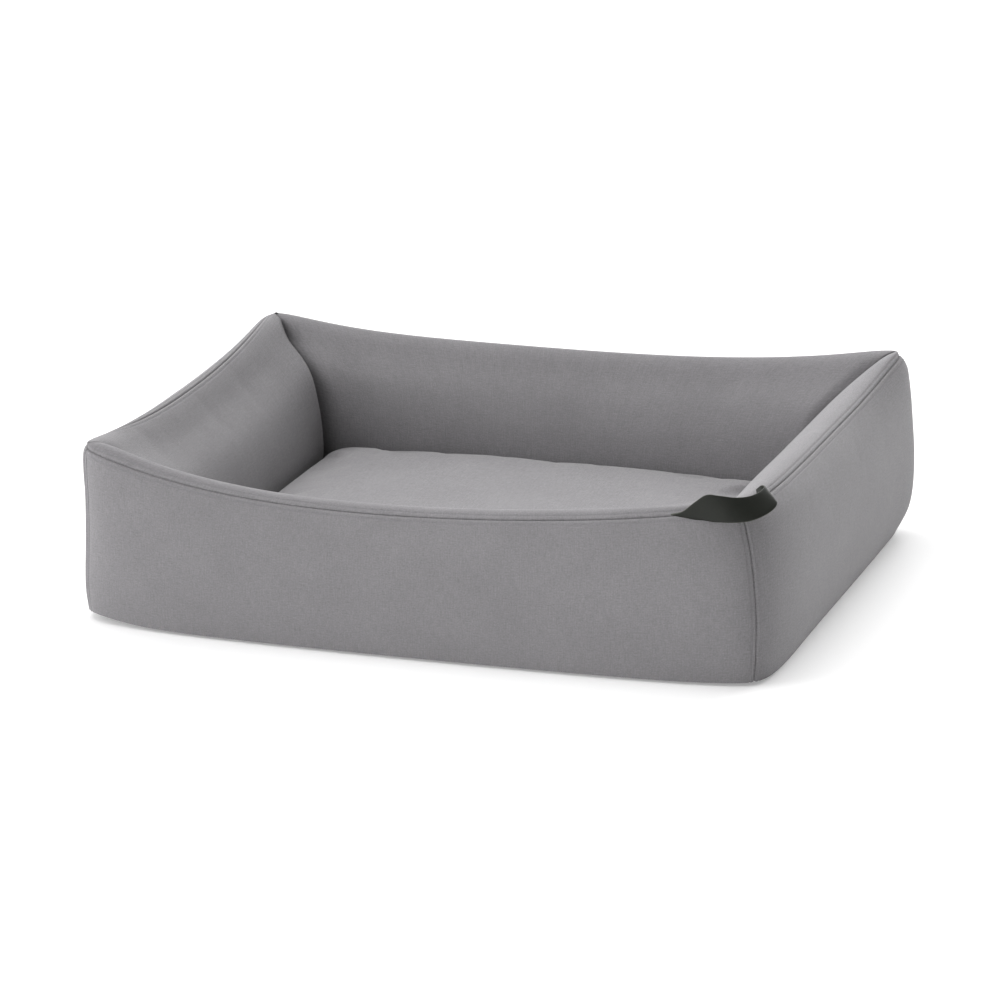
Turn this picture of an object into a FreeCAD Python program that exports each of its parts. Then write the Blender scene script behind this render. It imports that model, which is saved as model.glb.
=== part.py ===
import FreeCAD, Part
import math
import os

import Sketcher

# A dog bed: a soft frame of four foam bolsters in a zipped fabric cover, with a zipped
# cushion lying in the well between them. Millimetres. X is the width, Y the depth with the
# front at -Y, Z is up. The origin is under the middle of the bed, on the floor.

doc = FreeCAD.newDocument("dog_bed")
V = FreeCAD.Vector

# ---------------------------------------------------------------- driving dimensions
SIZES = {
    "overall_width": 872,
    "overall_depth": 722,
    "side_bolster": 120,        # thickness of the left and right bolsters at the well
    "front_bolster": 112,
    "back_bolster": 104,
    "mitre_gap": 0.5,           # between two covers where the bolsters meet at a corner
    "cloth": 1.5,               # cover fabric
    "foam_clearance": 1.5,      # cover lining to foam
    "wall_bottom": 2.8,         # underside of the bolsters, above the base fabric
    "base_cloth": 2.0,          # non-slip base fabric on the floor
    "base_inset": 25,
    "base_round": 50,
    "lining_bottom": 5.0,
    "lining_cloth": 1.5,
    "lining_inset": 3,
    "lining_round": 20,
    "cushion_width": 612,
    "cushion_length": 490,
    "cushion_shift": 4,         # the cushion sits a little behind the middle
    "cushion_bottom": 7.5,
    "cushion_top": 80,
    "cushion_round": 40,
    "cushion_inset": 5,         # band to foam core
    "topper_thick": 16,         # fibre layer over the foam core
    "topper_edge": 12,
    "ply_gap": 0.4,
    "frame_zip_length": 570,
    "frame_zip_height": 28,
    "frame_zip_inset": 4.6,     # the zip's middle plane, in from the overall depth
    "cushion_zip_length": 440,
    "cushion_zip_height": 40,
    "tape_width": 6.2,
    "tape_thick": 0.6,
    "tape_split": 0.8,          # gap between the two tapes, for the slider's post
    "coil_width": 1.5,
    "coil_thick": 1.6,
    "coil_gap": 0.1,            # tape edge to coil
    "coil_lift": 0.05,          # tape face to coil and stops
    "coil_end": 4,              # tape end to coil end
    "stop_length": 2,
    "slot_margin": 0.6,         # tape to the slot's edge
    "slot_depth": 10,
    "slot_reach": 40,
    "channel_margin": 2,        # tape to the edge of the foam's channel
    "channel_depth": 4,
    "slider_length": 11,
    "slider_width": 8.6,
    "plate_thick": 1.0,
    "plate_lift": 1.2,          # tape middle to the near face of each plate
    "rim_width": 0.7,
    "rim_gap": 0.5,             # tape middle to the plates' rims
    "post_length": 2.4,
    "post_width": 0.5,
    "bridge_length": 6.4,
    "bridge_width": 1.8,
    "bridge_thick": 0.8,
    "bridge_rise": 1.5,
    "leg_length": 0.8,
    "overlap": 0.4,             # how far fused pieces run into each other
    "pull_length": 20,
    "pull_width": 7,
    "pull_thick": 0.9,
    "pull_eye": 5.2,
    "arm_width": 1.4,
    "loop_thick": 2.2,
}
sheet = doc.addObject("Spreadsheet::Sheet", "Sizes")
for row, (name, value) in enumerate(SIZES.items(), start=1):
    sheet.set(f"A{row}", name)
    sheet.set(f"B{row}", str(value))
    sheet.setAlias(f"B{row}", name)
doc.recompute()


def size(name):
    """A driving dimension, read from the sheet."""
    return float(sheet.get(name))


# ---------------------------------------------------------------- the shape of a bolster
# Each bolster is drawn in its own frame: t runs along it, n points out of the bed, and u is
# t as a fraction from -1 to 1. The four follow each other anticlockwise seen from above.
SIDES = {
    #         outward n   along t    start corner   end corner
    "front": ((0, -1), (1, 0), "front_left", "front_right"),
    "right": ((1, 0), (0, 1), "front_right", "back_right"),
    "back": ((0, 1), (-1, 0), "back_right", "back_left"),
    "left": ((-1, 0), (0, -1), "back_left", "front_left"),
}
# The four corners rise to ears. The cuts are how far the rounded corner stays inside the
# overall width and depth; lean and tuck are the inset of the outer face at the rim and at
# the floor, as fractions of the bolster's thickness. seam is where the rim seam runs, counted
# along the cross-section's points, and full is how full the shoulder on the inside is.
CORNERS = {
    "front_left": {"ear": 220, "cut_x": 18, "cut_y": 40, "lean": 0.02, "tuck": 0.04,
                   "seam": 5.2, "full": 0.6},
    "front_right": {"ear": 211, "cut_x": 26, "cut_y": 36, "lean": 0.26, "tuck": 0.03,
                    "seam": 5.2, "full": 0.0},
    "back_right": {"ear": 234, "cut_x": 6, "cut_y": 12, "lean": 0.10, "tuck": 0.17,
                   "seam": 5.6, "full": 0.4},
    "back_left": {"ear": 220, "cut_x": 8, "cut_y": 12, "lean": 0.02, "tuck": 0.08,
                  "seam": 5.9, "full": 1.0},
}
# Half-way along, each rim sags to its lowest height; low is where, and the powers say how
# sharply it climbs to the start and end ears. bow is how much of the corner cut is a long
# bow instead of a tight round. plump is how full the shoulder on the outside is.
WALLS = {
    "front": {"rim": 178, "low": -0.15, "powers": (2.5, 1.6), "lean": 0.14, "tuck": 0.05,
              "bow": 0.45, "seam": 5.0, "full": 0.0, "plump": 0.0},
    "right": {"rim": 209, "low": 0.0, "powers": (2.5, 3.2), "lean": 0.20, "tuck": 0.14,
              "bow": 0.30, "seam": 5.6, "full": 1.7, "plump": 1.0},
    "back": {"rim": 202.5, "low": 0.25, "powers": (3.3, 3.9), "lean": 0.14, "tuck": 0.09,
             "bow": 0.0, "seam": 5.6, "full": 0.0, "plump": 0.0},
    "left": {"rim": 199, "low": 0.10, "powers": (2.5, 2.6), "lean": 0.02, "tuck": 0.06,
             "bow": 0.30, "seam": 6.4, "full": -0.2, "plump": 0.0},
}
ROUND_POWER = 7
BLEND_POWER = 2.5
FULL_POWER = 4
SEAM_MARGIN = 0.002            # gap between the two panels at the seam, as a share of the girth
STATIONS = (-1.0, -0.94, -0.84, -0.66, -0.36, 0.0, 0.36, 0.66, 0.84, 0.94, 1.0)


def half_sizes(side):
    """Half the length along the bolster and half the size across the bed."""
    half_w, half_d = size("overall_width") / 2, size("overall_depth") / 2
    return (half_w, half_d) if side in ("front", "back") else (half_d, half_w)


def bolster_thickness(side):
    return size("side_bolster" if side in ("left", "right") else side + "_bolster")


def next_side(side, step):
    order = list(SIDES)
    return order[(order.index(side) + step) % 4]


def plan_points(side, u):
    """Outer and inner plan points (t, n) of the cross-section at u."""
    along, across = half_sizes(side)
    start, end = SIDES[side][2:]
    corner = CORNERS[end if u > 0 else start]
    cut_t, cut_n = corner["cut_x"], corner["cut_y"]
    if side in ("left", "right"):
        cut_t, cut_n = cut_n, cut_t
    bow = WALLS[side]["bow"]
    rounding = bow * u * u + (1 - bow) * abs(u) ** ROUND_POWER
    neighbour = next_side(side, 1 if u > 0 else -1)
    outer = (u * (along - cut_t), across - cut_n * rounding)
    inner = (u * (along - bolster_thickness(neighbour)), across - bolster_thickness(side))
    return outer, inner


def blend_to_corner(side, u, key, power=BLEND_POWER):
    """A value that changes from the wall's own to the corner's near the ends."""
    start, end = SIDES[side][2:]
    corner = CORNERS[end if u > 0 else start][key]
    middle = WALLS[side][key]
    return middle + (corner - middle) * abs(u) ** power


def rim_height(side, u):
    wall = WALLS[side]
    start, end = SIDES[side][2:]
    if u < wall["low"]:
        rise = (wall["low"] - u) / (wall["low"] + 1)
        return wall["rim"] + (CORNERS[start]["ear"] - wall["rim"]) * rise ** wall["powers"][0]
    rise = (u - wall["low"]) / (1 - wall["low"])
    return wall["rim"] + (CORNERS[end]["ear"] - wall["rim"]) * rise ** wall["powers"][1]


def cross_section(side, u):
    """The bolster's outer surface at u: points (inset, z) from the floor outside, over the
    rim and down to the well. Inset is measured along n."""
    outer, inner = plan_points(side, u)
    thick = outer[1] - inner[1]
    rim = rim_height(side, u)
    lean = blend_to_corner(side, u, "lean")
    tuck = blend_to_corner(side, u, "tuck")
    full = blend_to_corner(side, u, "full", FULL_POWER)
    plump = WALLS[side]["plump"] * (1 - abs(u) ** FULL_POWER)
    floor = size("wall_bottom")
    shares = [
        (tuck, None),
        (tuck * 0.25, 0.17),
        (0.0, 0.42),
        (lean * 0.30 * (1 - 0.8 * plump), 0.68),
        (lean * 0.75 * (1 - 0.5 * plump), 0.86),
        (lean + 0.02 - 0.03 * plump, 0.95),
        (lean + 0.13, 1.0),
        (lean + 0.27, 0.965 + 0.02 * full),
        (lean * 0.8 + 0.46 + 0.02 * full, 0.86 + 0.045 * full),
        (0.78 + 0.03 * full, 0.72 + 0.04 * full),
        (0.93 + 0.01 * full, 0.56 + 0.02 * full),
        (1.0, 0.37),
        (0.99, 0.19),
        (0.97, None),
    ]
    return [(x * thick, floor if z is None else z * rim) for x, z in shares]


def smooth_curve(points):
    curve = Part.BSplineCurve()
    curve.interpolate([V(x, 0, z) for x, z in points])
    return curve


def offset_points(side, u, depth, first, last, count):
    """Points (inset, z) at a depth under the outer surface, from the share first to the
    share last of the way along the cross-section."""
    curve = smooth_curve(cross_section(side, u))
    start, end = curve.FirstParameter, curve.LastParameter
    points = []
    for k in range(count):
        share = first + (last - first) * k / (count - 1)
        where = start + (end - start) * share
        at, along = curve.value(where), curve.tangent(where)[0]
        points.append((at.x + along.z * depth, at.z - along.x * depth))
    return points


def seam_share(side, u):
    """How far along the cross-section the rim seam is."""
    points = cross_section(side, u)
    curve = smooth_curve(points)
    at = blend_to_corner(side, u, "seam")
    before, after = (curve.parameter(V(x, 0, z)) for x, z in points[int(at):int(at) + 2])
    where = before + (after - before) * (at - int(at))
    return (where - curve.FirstParameter) / (curve.LastParameter - curve.FirstParameter)


def to_world(side, u, inset, z):
    """A cross-section point in the bed's own frame."""
    outer, inner = plan_points(side, u)
    share = inset / (outer[1] - inner[1])
    t = outer[0] + (inner[0] - outer[0]) * share
    n = outer[1] - inset
    if abs(u) == 1:
        t -= math.copysign(size("mitre_gap") / 2, u)
    (nx, ny), (tx, ty) = SIDES[side][:2]
    return V(nx * n + tx * t, ny * n + ty * t, z)


def curve_edge(side, u, points):
    curve = Part.BSplineCurve()
    curve.interpolate([to_world(side, u, x, z) for x, z in points])
    return curve.toShape()


def line_edge(side, u, a, b):
    return Part.makeLine(to_world(side, u, *a), to_world(side, u, *b))


def loft(sections):
    solid = Part.makeLoft(sections, True, False)
    if solid.Volume < 0:
        solid.reverse()
    return solid


def spans(side, u):
    """The stretches of the cross-section that the outer and the inner panel cover, each as
    first share, last share and number of points."""
    seam = seam_share(side, u)
    margin = SEAM_MARGIN / 2
    return (0, seam - margin, 8), (seam + margin, 1, 12)


def foam_shape(side):
    """The foam bolster: both panels' lines moved in by the cloth and its clearance, with a
    level underside."""
    depth = size("cloth") + size("foam_clearance")
    floor = size("wall_bottom")
    sections = []
    for u in STATIONS:
        outside, inside = (offset_points(side, u, depth, *span) for span in spans(side, u))
        outside[0] = (outside[0][0], floor)
        inside[-1] = (inside[-1][0], floor)
        edges = [
            curve_edge(side, u, outside),
            line_edge(side, u, outside[-1], inside[0]),
            curve_edge(side, u, inside),
            line_edge(side, u, inside[-1], outside[0]),
        ]
        sections.append(Part.Wire(edges))
    return loft(sections)


def panel_shape(side, face):
    """One cover panel: the outer one from the floor to the rim seam, or the inner one from
    the seam over the rim and down into the well."""
    sections = []
    for u in STATIONS:
        span = spans(side, u)[0 if face == "outer" else 1]
        skin = offset_points(side, u, 0, *span)
        lining = offset_points(side, u, size("cloth"), *span)
        edges = [
            curve_edge(side, u, skin),
            line_edge(side, u, skin[-1], lining[-1]),
            curve_edge(side, u, lining[::-1]),
            line_edge(side, u, lining[0], skin[0]),
        ]
        sections.append(Part.Wire(edges))
    return loft(sections)


# ---------------------------------------------------------------- document helpers
def freeform(name, shape):
    """A soft sub-part whose surface is a loft through its cross-sections."""
    part = doc.addObject("Part::Feature", name)
    part.Label = name
    part.Shape = shape
    part.Placement = FreeCAD.Placement()
    return part


def origin_plane(body, role):
    return next(f for f in body.Origin.OriginFeatures if f.Role == role)


def new_body(name):
    body = doc.addObject("PartDesign::Body", name + "_body")
    body.Label = name
    return body


def new_sketch(body, name, role):
    sketch = body.newObject("Sketcher::SketchObject", name)
    sketch.AttachmentSupport = [(origin_plane(body, role), "")]
    sketch.MapMode = "FlatFace"
    return sketch


def add_rectangle(sketch, width, height, centre=(0, 0), tag=""):
    """A rectangle bound to the sheet. Width, height and centre are expressions."""
    first = sketch.GeometryCount
    corners = [(-1, -1), (1, -1), (1, 1), (-1, 1)]
    for k in range(4):
        (x0, y0), (x1, y1) = corners[k], corners[(k + 1) % 4]
        sketch.addGeometry(Part.LineSegment(V(x0, y0, 0), V(x1, y1, 0)), False)
    for k in range(4):
        sketch.addConstraint(
            Sketcher.Constraint("Coincident", first + k, 2, first + (k + 1) % 4, 1))
    for k, kind in enumerate(("Horizontal", "Vertical", "Horizontal", "Vertical")):
        sketch.addConstraint(Sketcher.Constraint(kind, first + k))
    # Each corner's two distances from the sketch origin, by name, then by expression.
    for point, x_sign, y_sign in (((first, 1), "-", "-"), ((first + 1, 2), "+", "+")):
        for axis, sign, extent, middle in (
                ("DistanceX", x_sign, width, centre[0]), ("DistanceY", y_sign, height, centre[1])):
            start = sketch.getPoint(*point)
            value = start.x if axis == "DistanceX" else start.y
            index = sketch.addConstraint(
                Sketcher.Constraint(axis, -1, 1, point[0], point[1], value))
            label = f"{axis}_{point[0]}{tag}"
            sketch.renameConstraint(index, label)
            sketch.setExpression(f"Constraints.{label}", f"({middle}) {sign} ({extent}) / 2")


START = (40.0, 30.0, 8.0)      # half width, half height and radius before the sheet's sizes act


def add_rounded_rectangle(sketch, width, height, radius, centre_y="0"):
    """A rectangle with four equal arcs at its corners, bound to the sheet."""
    first = sketch.GeometryCount
    w, h, r = START
    lines = [
        (V(-w + r, -h, 0), V(w - r, -h, 0)), (V(w, -h + r, 0), V(w, h - r, 0)),
        (V(w - r, h, 0), V(-w + r, h, 0)), (V(-w, h - r, 0), V(-w, -h + r, 0)),
    ]
    centres = [V(w - r, -h + r, 0), V(w - r, h - r, 0), V(-w + r, h - r, 0),
               V(-w + r, -h + r, 0)]
    for start, end in lines:
        sketch.addGeometry(Part.LineSegment(start, end), False)
    for k, centre in enumerate(centres):
        circle = Part.Circle(centre, V(0, 0, 1), r)
        angle = -math.pi / 2 + k * math.pi / 2
        sketch.addGeometry(Part.ArcOfCircle(circle, angle, angle + math.pi / 2), False)
    for k in range(4):
        line, arc, following = first + k, first + 4 + k, first + (k + 1) % 4
        sketch.addConstraint(Sketcher.Constraint("Tangent", line, 2, arc, 1))
        sketch.addConstraint(Sketcher.Constraint("Tangent", arc, 2, following, 1))
    for k, kind in enumerate(("Horizontal", "Vertical", "Horizontal", "Vertical")):
        sketch.addConstraint(Sketcher.Constraint(kind, first + k))
    for k in range(1, 4):
        sketch.addConstraint(Sketcher.Constraint("Equal", first + 4, first + 4 + k))
    bound = [
        ("corner", Sketcher.Constraint("Radius", first + 4, r), radius),
        ("right_edge", Sketcher.Constraint("DistanceX", -1, 1, first + 1, 1, w),
         f"({width}) / 2"),
        ("left_edge", Sketcher.Constraint("DistanceX", first + 3, 1, -1, 1, w),
         f"({width}) / 2"),
        ("back_edge", Sketcher.Constraint("DistanceY", -1, 1, first + 2, 1, h),
         f"({height}) / 2 + ({centre_y})"),
        ("front_edge", Sketcher.Constraint("DistanceY", first, 1, -1, 1, h),
         f"({height}) / 2 - ({centre_y})"),
    ]
    for name, constraint, expression in bound:
        index = sketch.addConstraint(constraint)
        label = f"{name}_{first}"
        sketch.renameConstraint(index, label)
        sketch.setExpression(f"Constraints.{label}", expression)


def pad(body, sketch, name, length, reverse=False, both_ways=False):
    """A pad of a sketch; length is an expression."""
    feature = body.newObject("PartDesign::Pad", name)
    feature.Profile = sketch
    feature.setExpression("Length", length)
    feature.Reversed = reverse
    feature.Midplane = both_ways
    sketch.Visibility = False
    return feature


def flat_panel(name, width, height, radius, bottom, thick, centre_y="0", hole=None):
    """A level sheet or block with rounded corners. hole is how far in a hole's edge is."""
    body = new_body(name)
    sketch = new_sketch(body, name + "_outline", "XY_Plane")
    add_rounded_rectangle(sketch, width, height, radius, centre_y)
    if hole:
        add_rounded_rectangle(
            sketch, f"({width}) - 2 * ({hole})", f"({height}) - 2 * ({hole})",
            f"({radius}) - ({hole})", centre_y)
    sketch.setExpression("AttachmentOffset.Base.z", bottom)
    pad(body, sketch, name + "_pad", thick)
    return body


# ---------------------------------------------------------------- zips
# A zip runs along X on an upright face that looks towards +Y. Its middle plane is at y, its
# middle height at z, both expressions.
def zip_place(body, y, z):
    body.setExpression("Placement.Base.y", y)
    body.setExpression("Placement.Base.z", z)


def zip_strip(name, y, z, length, low, high, thick):
    """A straight strip along the zip: a rectangle in XZ from low to high, padded in y."""
    body = new_body(name)
    sketch = new_sketch(body, name + "_face", "XZ_Plane")
    add_rectangle(sketch, length, f"({high}) - ({low})", ("0", f"(({high}) + ({low})) / 2"))
    pad(body, sketch, name + "_pad", thick, both_ways=True)
    zip_place(body, y, z)
    return body


def pad_on_tape(body, sketch, name, y, z):
    """Pads a coil or the stops out from the tapes' outer face."""
    sketch.setExpression("AttachmentOffset.Base.z", "-Sizes.tape_thick / 2 - Sizes.coil_lift")
    pad(body, sketch, name + "_pad", "Sizes.coil_thick / 2", reverse=True)
    zip_place(body, y, z)


def zip_chain(prefix, y, z, length):
    """Two tapes, two coils and the end stops."""
    split, tape, coil = "Sizes.tape_split / 2", "Sizes.tape_width", "Sizes.coil_width"
    zip_strip(prefix + "_tape_upper", y, z, length, f"{split}", f"{split} + {tape}",
              "Sizes.tape_thick")
    zip_strip(prefix + "_tape_lower", y, z, length, f"-{split} - {tape}", f"-{split}",
              "Sizes.tape_thick")
    coil_near = f"({split} + Sizes.coil_gap)"
    coil_far = f"({split} + Sizes.coil_gap + {coil})"
    for part, low, high in (("_coil_upper", coil_near, coil_far),
                            ("_coil_lower", f"-{coil_far}", f"-{coil_near}")):
        body = new_body(prefix + part)
        sketch = new_sketch(body, prefix + part + "_face", "XZ_Plane")
        add_rectangle(sketch, f"{length} - 2 * Sizes.coil_end", f"({high}) - ({low})",
                      ("0", f"(({high}) + ({low})) / 2"))
        pad_on_tape(body, sketch, prefix + part, y, z)
    stops = new_body(prefix + "_stops")
    sketch = new_sketch(stops, prefix + "_stops_face", "XZ_Plane")
    for tag, sign in (("left", "-"), ("right", "")):
        add_rectangle(sketch, "Sizes.stop_length", "Sizes.tape_split + 2 * Sizes.coil_width",
                      (f"{sign}({length} / 2 - Sizes.stop_length)", "0"), tag)
    pad_on_tape(stops, sketch, prefix + "_stops", y, z)


def slider_box(name, length, width, thick, x, y, z):
    """A box centred on (x, y, z) within the slider; thick is along Y."""
    box = doc.addObject("Part::Box", name)
    box.setExpression("Length", length)
    box.setExpression("Width", thick)
    box.setExpression("Height", width)
    box.setExpression("Placement.Base.x", f"({x}) - ({length}) / 2")
    box.setExpression("Placement.Base.y", f"({y}) - ({thick}) / 2")
    box.setExpression("Placement.Base.z", f"({z}) - ({width}) / 2")
    return box


def zip_slider(prefix, x, y, z):
    """The slider: two plates joined by a post between the tapes, rims that keep the tapes
    in, and a bridge for the pull on the outer plate."""
    lift = "(Sizes.plate_lift + Sizes.plate_thick / 2)"
    long, wide, thick = "Sizes.slider_length", "Sizes.slider_width", "Sizes.plate_thick"
    rim_z = "(Sizes.slider_width - Sizes.rim_width) / 2"
    rim_y = "(Sizes.plate_lift + Sizes.rim_gap) / 2"
    top = f"({y}) + Sizes.plate_lift + Sizes.plate_thick"
    bar = f"{top} + Sizes.bridge_rise"
    leg_x = "(Sizes.bridge_length - Sizes.leg_length) / 2"
    boxes = [
        slider_box(prefix + "_outer_plate", long, wide, thick, x, f"({y}) + {lift}", z),
        slider_box(prefix + "_inner_plate", long, wide, thick, x, f"({y}) - {lift}", z),
        slider_box(prefix + "_post", "Sizes.post_length", "Sizes.post_width",
                   f"2 * {lift}", x, y, z),
        slider_box(prefix + "_bar", "Sizes.bridge_length", "Sizes.bridge_width",
                   "Sizes.bridge_thick", x, f"{bar} + Sizes.bridge_thick / 2", z),
    ]
    for tag, sign in (("upper", "+"), ("lower", "-")):
        for face, turn in (("outer", "+"), ("inner", "-")):
            boxes.append(slider_box(
                f"{prefix}_{face}_rim_{tag}", long, "Sizes.rim_width",
                "Sizes.plate_lift - Sizes.rim_gap", x, f"({y}) {turn} {rim_y}",
                f"({z}) {sign} {rim_z}"))
    for tag, sign in (("near", "+"), ("far", "-")):
        boxes.append(slider_box(
            f"{prefix}_leg_{tag}", "Sizes.leg_length", "Sizes.bridge_width",
            "Sizes.bridge_rise + Sizes.overlap", f"({x}) {sign} {leg_x}",
            f"{top} + Sizes.bridge_rise / 2", z))
    slider = doc.addObject("Part::MultiFuse", prefix)
    slider.Label = prefix
    slider.Shapes = boxes
    return slider


def zip_pull(prefix, x, y, z):
    """The pull: a flat tab with an eye, whose crossbar lies under the slider's bridge. It is
    stored flat along the chain, towards -X."""
    pivot = f"({y}) + Sizes.plate_lift + Sizes.plate_thick + Sizes.bridge_rise / 2"
    arm_z = "(Sizes.pull_width - Sizes.arm_width) / 2"
    crossbar = doc.addObject("Part::Cylinder", prefix + "_crossbar")
    crossbar.setExpression("Radius", "Sizes.pull_thick / 2")
    crossbar.setExpression("Height", "Sizes.pull_width - Sizes.overlap")
    crossbar.setExpression("Placement.Base.x", x)
    crossbar.setExpression("Placement.Base.y", pivot)
    crossbar.setExpression(
        "Placement.Base.z", f"({z}) - (Sizes.pull_width - Sizes.overlap) / 2")
    tab_length = "(Sizes.pull_length - Sizes.pull_eye)"
    pieces = [crossbar, slider_box(
        prefix + "_tab", tab_length, "Sizes.pull_width", "Sizes.pull_thick",
        f"({x}) - Sizes.pull_eye - {tab_length} / 2", pivot, z)]
    for tag, sign in (("upper", "+"), ("lower", "-")):
        pieces.append(slider_box(
            f"{prefix}_arm_{tag}", "Sizes.pull_eye + Sizes.overlap", "Sizes.arm_width",
            "Sizes.pull_thick",
            f"({x}) - Sizes.pull_eye / 2", pivot, f"({z}) {sign} {arm_z}"))
    pull = doc.addObject("Part::MultiFuse", prefix)
    pull.Label = prefix
    pull.Shapes = pieces
    return pull


# ---------------------------------------------------------------- frame: foam and cover
for side_name in ("front", "right", "left"):
    freeform("foam_" + side_name, foam_shape(side_name))
    freeform(f"cover_{side_name}_outer", panel_shape(side_name, "outer"))
for side_name in SIDES:
    freeform(f"cover_{side_name}_inner", panel_shape(side_name, "inner"))

# The back bolster has a straight zip low on its outside: a slot in the cover and a shallow
# channel in the foam behind it.
FRAME_ZIP_Y = "Sizes.overall_depth / 2 - Sizes.frame_zip_inset"
FRAME_ZIP_Z = "Sizes.frame_zip_height"
SLOT_WIDTH = "2 * (Sizes.tape_width + Sizes.slot_margin) + Sizes.tape_split"


def back_cut(name, blank_shape, margin, depth):
    """The back panel or foam with a box taken out of it along the zip."""
    blank = freeform(name + "_blank", blank_shape)
    box = doc.addObject("Part::Box", name + "_slot")
    box.setExpression("Length", f"Sizes.frame_zip_length + 2 * ({margin})")
    box.setExpression("Width", "Sizes.slot_reach")
    box.setExpression("Height", f"{SLOT_WIDTH} + 2 * ({margin} - Sizes.slot_margin)")
    box.setExpression("Placement.Base.x", f"-Sizes.frame_zip_length / 2 - ({margin})")
    box.setExpression("Placement.Base.y", f"{FRAME_ZIP_Y} - ({depth})")
    box.setExpression(
        "Placement.Base.z",
        f"{FRAME_ZIP_Z} - ({SLOT_WIDTH}) / 2 - ({margin} - Sizes.slot_margin)")
    cut = doc.addObject("Part::Cut", name)
    cut.Label = name
    cut.Base = blank
    cut.Tool = box
    return cut


back_cut("cover_back_outer", panel_shape("back", "outer"), "Sizes.slot_margin",
         "Sizes.slot_depth")
back_cut("foam_back", foam_shape("back"), "Sizes.channel_margin", "Sizes.channel_depth")
zip_chain("frame_zip", FRAME_ZIP_Y, FRAME_ZIP_Z, "Sizes.frame_zip_length")
FRAME_SLIDER_X = "Sizes.frame_zip_length / 2 - Sizes.coil_end - Sizes.slider_length / 2"
zip_slider("frame_zip_slider", FRAME_SLIDER_X, FRAME_ZIP_Y, FRAME_ZIP_Z)
zip_pull("frame_zip_pull", FRAME_SLIDER_X, FRAME_ZIP_Y, FRAME_ZIP_Z)

flat_panel("base_fabric", "Sizes.overall_width - 2 * Sizes.base_inset",
           "Sizes.overall_depth - 2 * Sizes.base_inset", "Sizes.base_round", "0",
           "Sizes.base_cloth")
WELL_MIDDLE = "(Sizes.front_bolster - Sizes.back_bolster) / 2"
flat_panel("well_lining",
           "Sizes.overall_width - 2 * Sizes.side_bolster - 2 * Sizes.lining_inset",
           "Sizes.overall_depth - Sizes.front_bolster - Sizes.back_bolster"
           " - 2 * Sizes.lining_inset", "Sizes.lining_round", "Sizes.lining_bottom",
           "Sizes.lining_cloth", WELL_MIDDLE)

# ---------------------------------------------------------------- frame: leather loop
# A strip sewn into the rim seam either side of the front right corner. It leaves the front
# seam, twists upright, passes round the corner and curls back into the right-hand seam.
# Each station is a point on the strip's upper edge and one on its lower edge.
LOOP_STATIONS = [
    (V(306, -331, 197), V(336, -332, 194)),
    (V(321, -334, 203), V(348, -336, 195)),
    (V(336, -337, 216), V(360, -340, 195)),
    (V(350, -338, 226), V(371, -342, 196)),
    (V(366, -337, 226), V(385, -342, 197)),
    (V(382, -332, 224), V(401, -338, 199)),
    (V(396, -322, 224), V(415, -329, 204)),
    (V(405, -310, 227), V(424, -318, 210)),
    (V(407, -298, 230), V(425, -309, 215)),
    (V(401, -289, 228), V(416, -304, 217)),
    (V(394, -284, 221), V(402, -304, 214)),
]


def loop_section(upper, lower, forward):
    """A rectangle across the strip, square to its run."""
    width = (lower - upper).normalize()
    face = width.cross(forward).normalize()
    half = face * (size("loop_thick") / 2)
    ring = [upper + half, lower + half, lower - half, upper - half]
    return Part.makePolygon(ring + ring[:1])


def loop_shape():
    middles = [(a + b) * 0.5 for a, b in LOOP_STATIONS]
    sections = []
    for k, (upper, lower) in enumerate(LOOP_STATIONS):
        ahead, behind = middles[min(k + 1, len(middles) - 1)], middles[max(k - 1, 0)]
        sections.append(loop_section(upper, lower, ahead - behind))
    return loft(sections)


freeform("leather_loop", loop_shape())

# ---------------------------------------------------------------- cushion
WIDE, DEEP = "Sizes.cushion_width", "Sizes.cushion_length"
ROUND, SHIFT, INSET = "Sizes.cushion_round", "Sizes.cushion_shift", "Sizes.cushion_inset"
BAND_LOW = "Sizes.cushion_bottom + Sizes.cloth + Sizes.ply_gap"
BAND_HIGH = "Sizes.cushion_top - Sizes.cloth - Sizes.ply_gap"
INNER_WIDE, INNER_DEEP = f"{WIDE} - 2 * {INSET}", f"{DEEP} - 2 * {INSET}"
INNER_ROUND = f"{ROUND} - {INSET}"
TOPPER_LOW = f"{BAND_HIGH} - Sizes.topper_thick"

flat_panel("cushion_bottom_panel", WIDE, DEEP, ROUND, "Sizes.cushion_bottom", "Sizes.cloth",
           SHIFT)
flat_panel("cushion_top_panel", WIDE, DEEP, ROUND, "Sizes.cushion_top - Sizes.cloth",
           "Sizes.cloth", SHIFT)
flat_panel("cushion_foam_core", INNER_WIDE, INNER_DEEP, INNER_ROUND, BAND_LOW,
           f"{TOPPER_LOW} - ({BAND_LOW}) - Sizes.ply_gap", SHIFT)
topper = flat_panel("cushion_topper", INNER_WIDE, INNER_DEEP, INNER_ROUND, TOPPER_LOW,
                    "Sizes.topper_thick", SHIFT)
band = flat_panel("cushion_side_band", WIDE, DEEP, ROUND, BAND_LOW,
                  f"({BAND_HIGH}) - ({BAND_LOW})", SHIFT, hole="Sizes.cloth")
doc.recompute()

# The topper's upper edge is rounded over.
top_face = max(topper.Shape.Faces, key=lambda face: face.CenterOfMass.z)
top_edges = [f"Edge{k}" for k, edge in enumerate(topper.Shape.Edges, start=1)
             if min(vertex.Z for vertex in edge.Vertexes) > top_face.CenterOfMass.z - 0.01]
square_topper = topper.Tip
rounding = topper.newObject("PartDesign::Fillet", "cushion_topper_edge")
rounding.Base = (square_topper, top_edges)
rounding.setExpression("Radius", "Sizes.topper_edge")
topper.Tip = rounding

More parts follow.
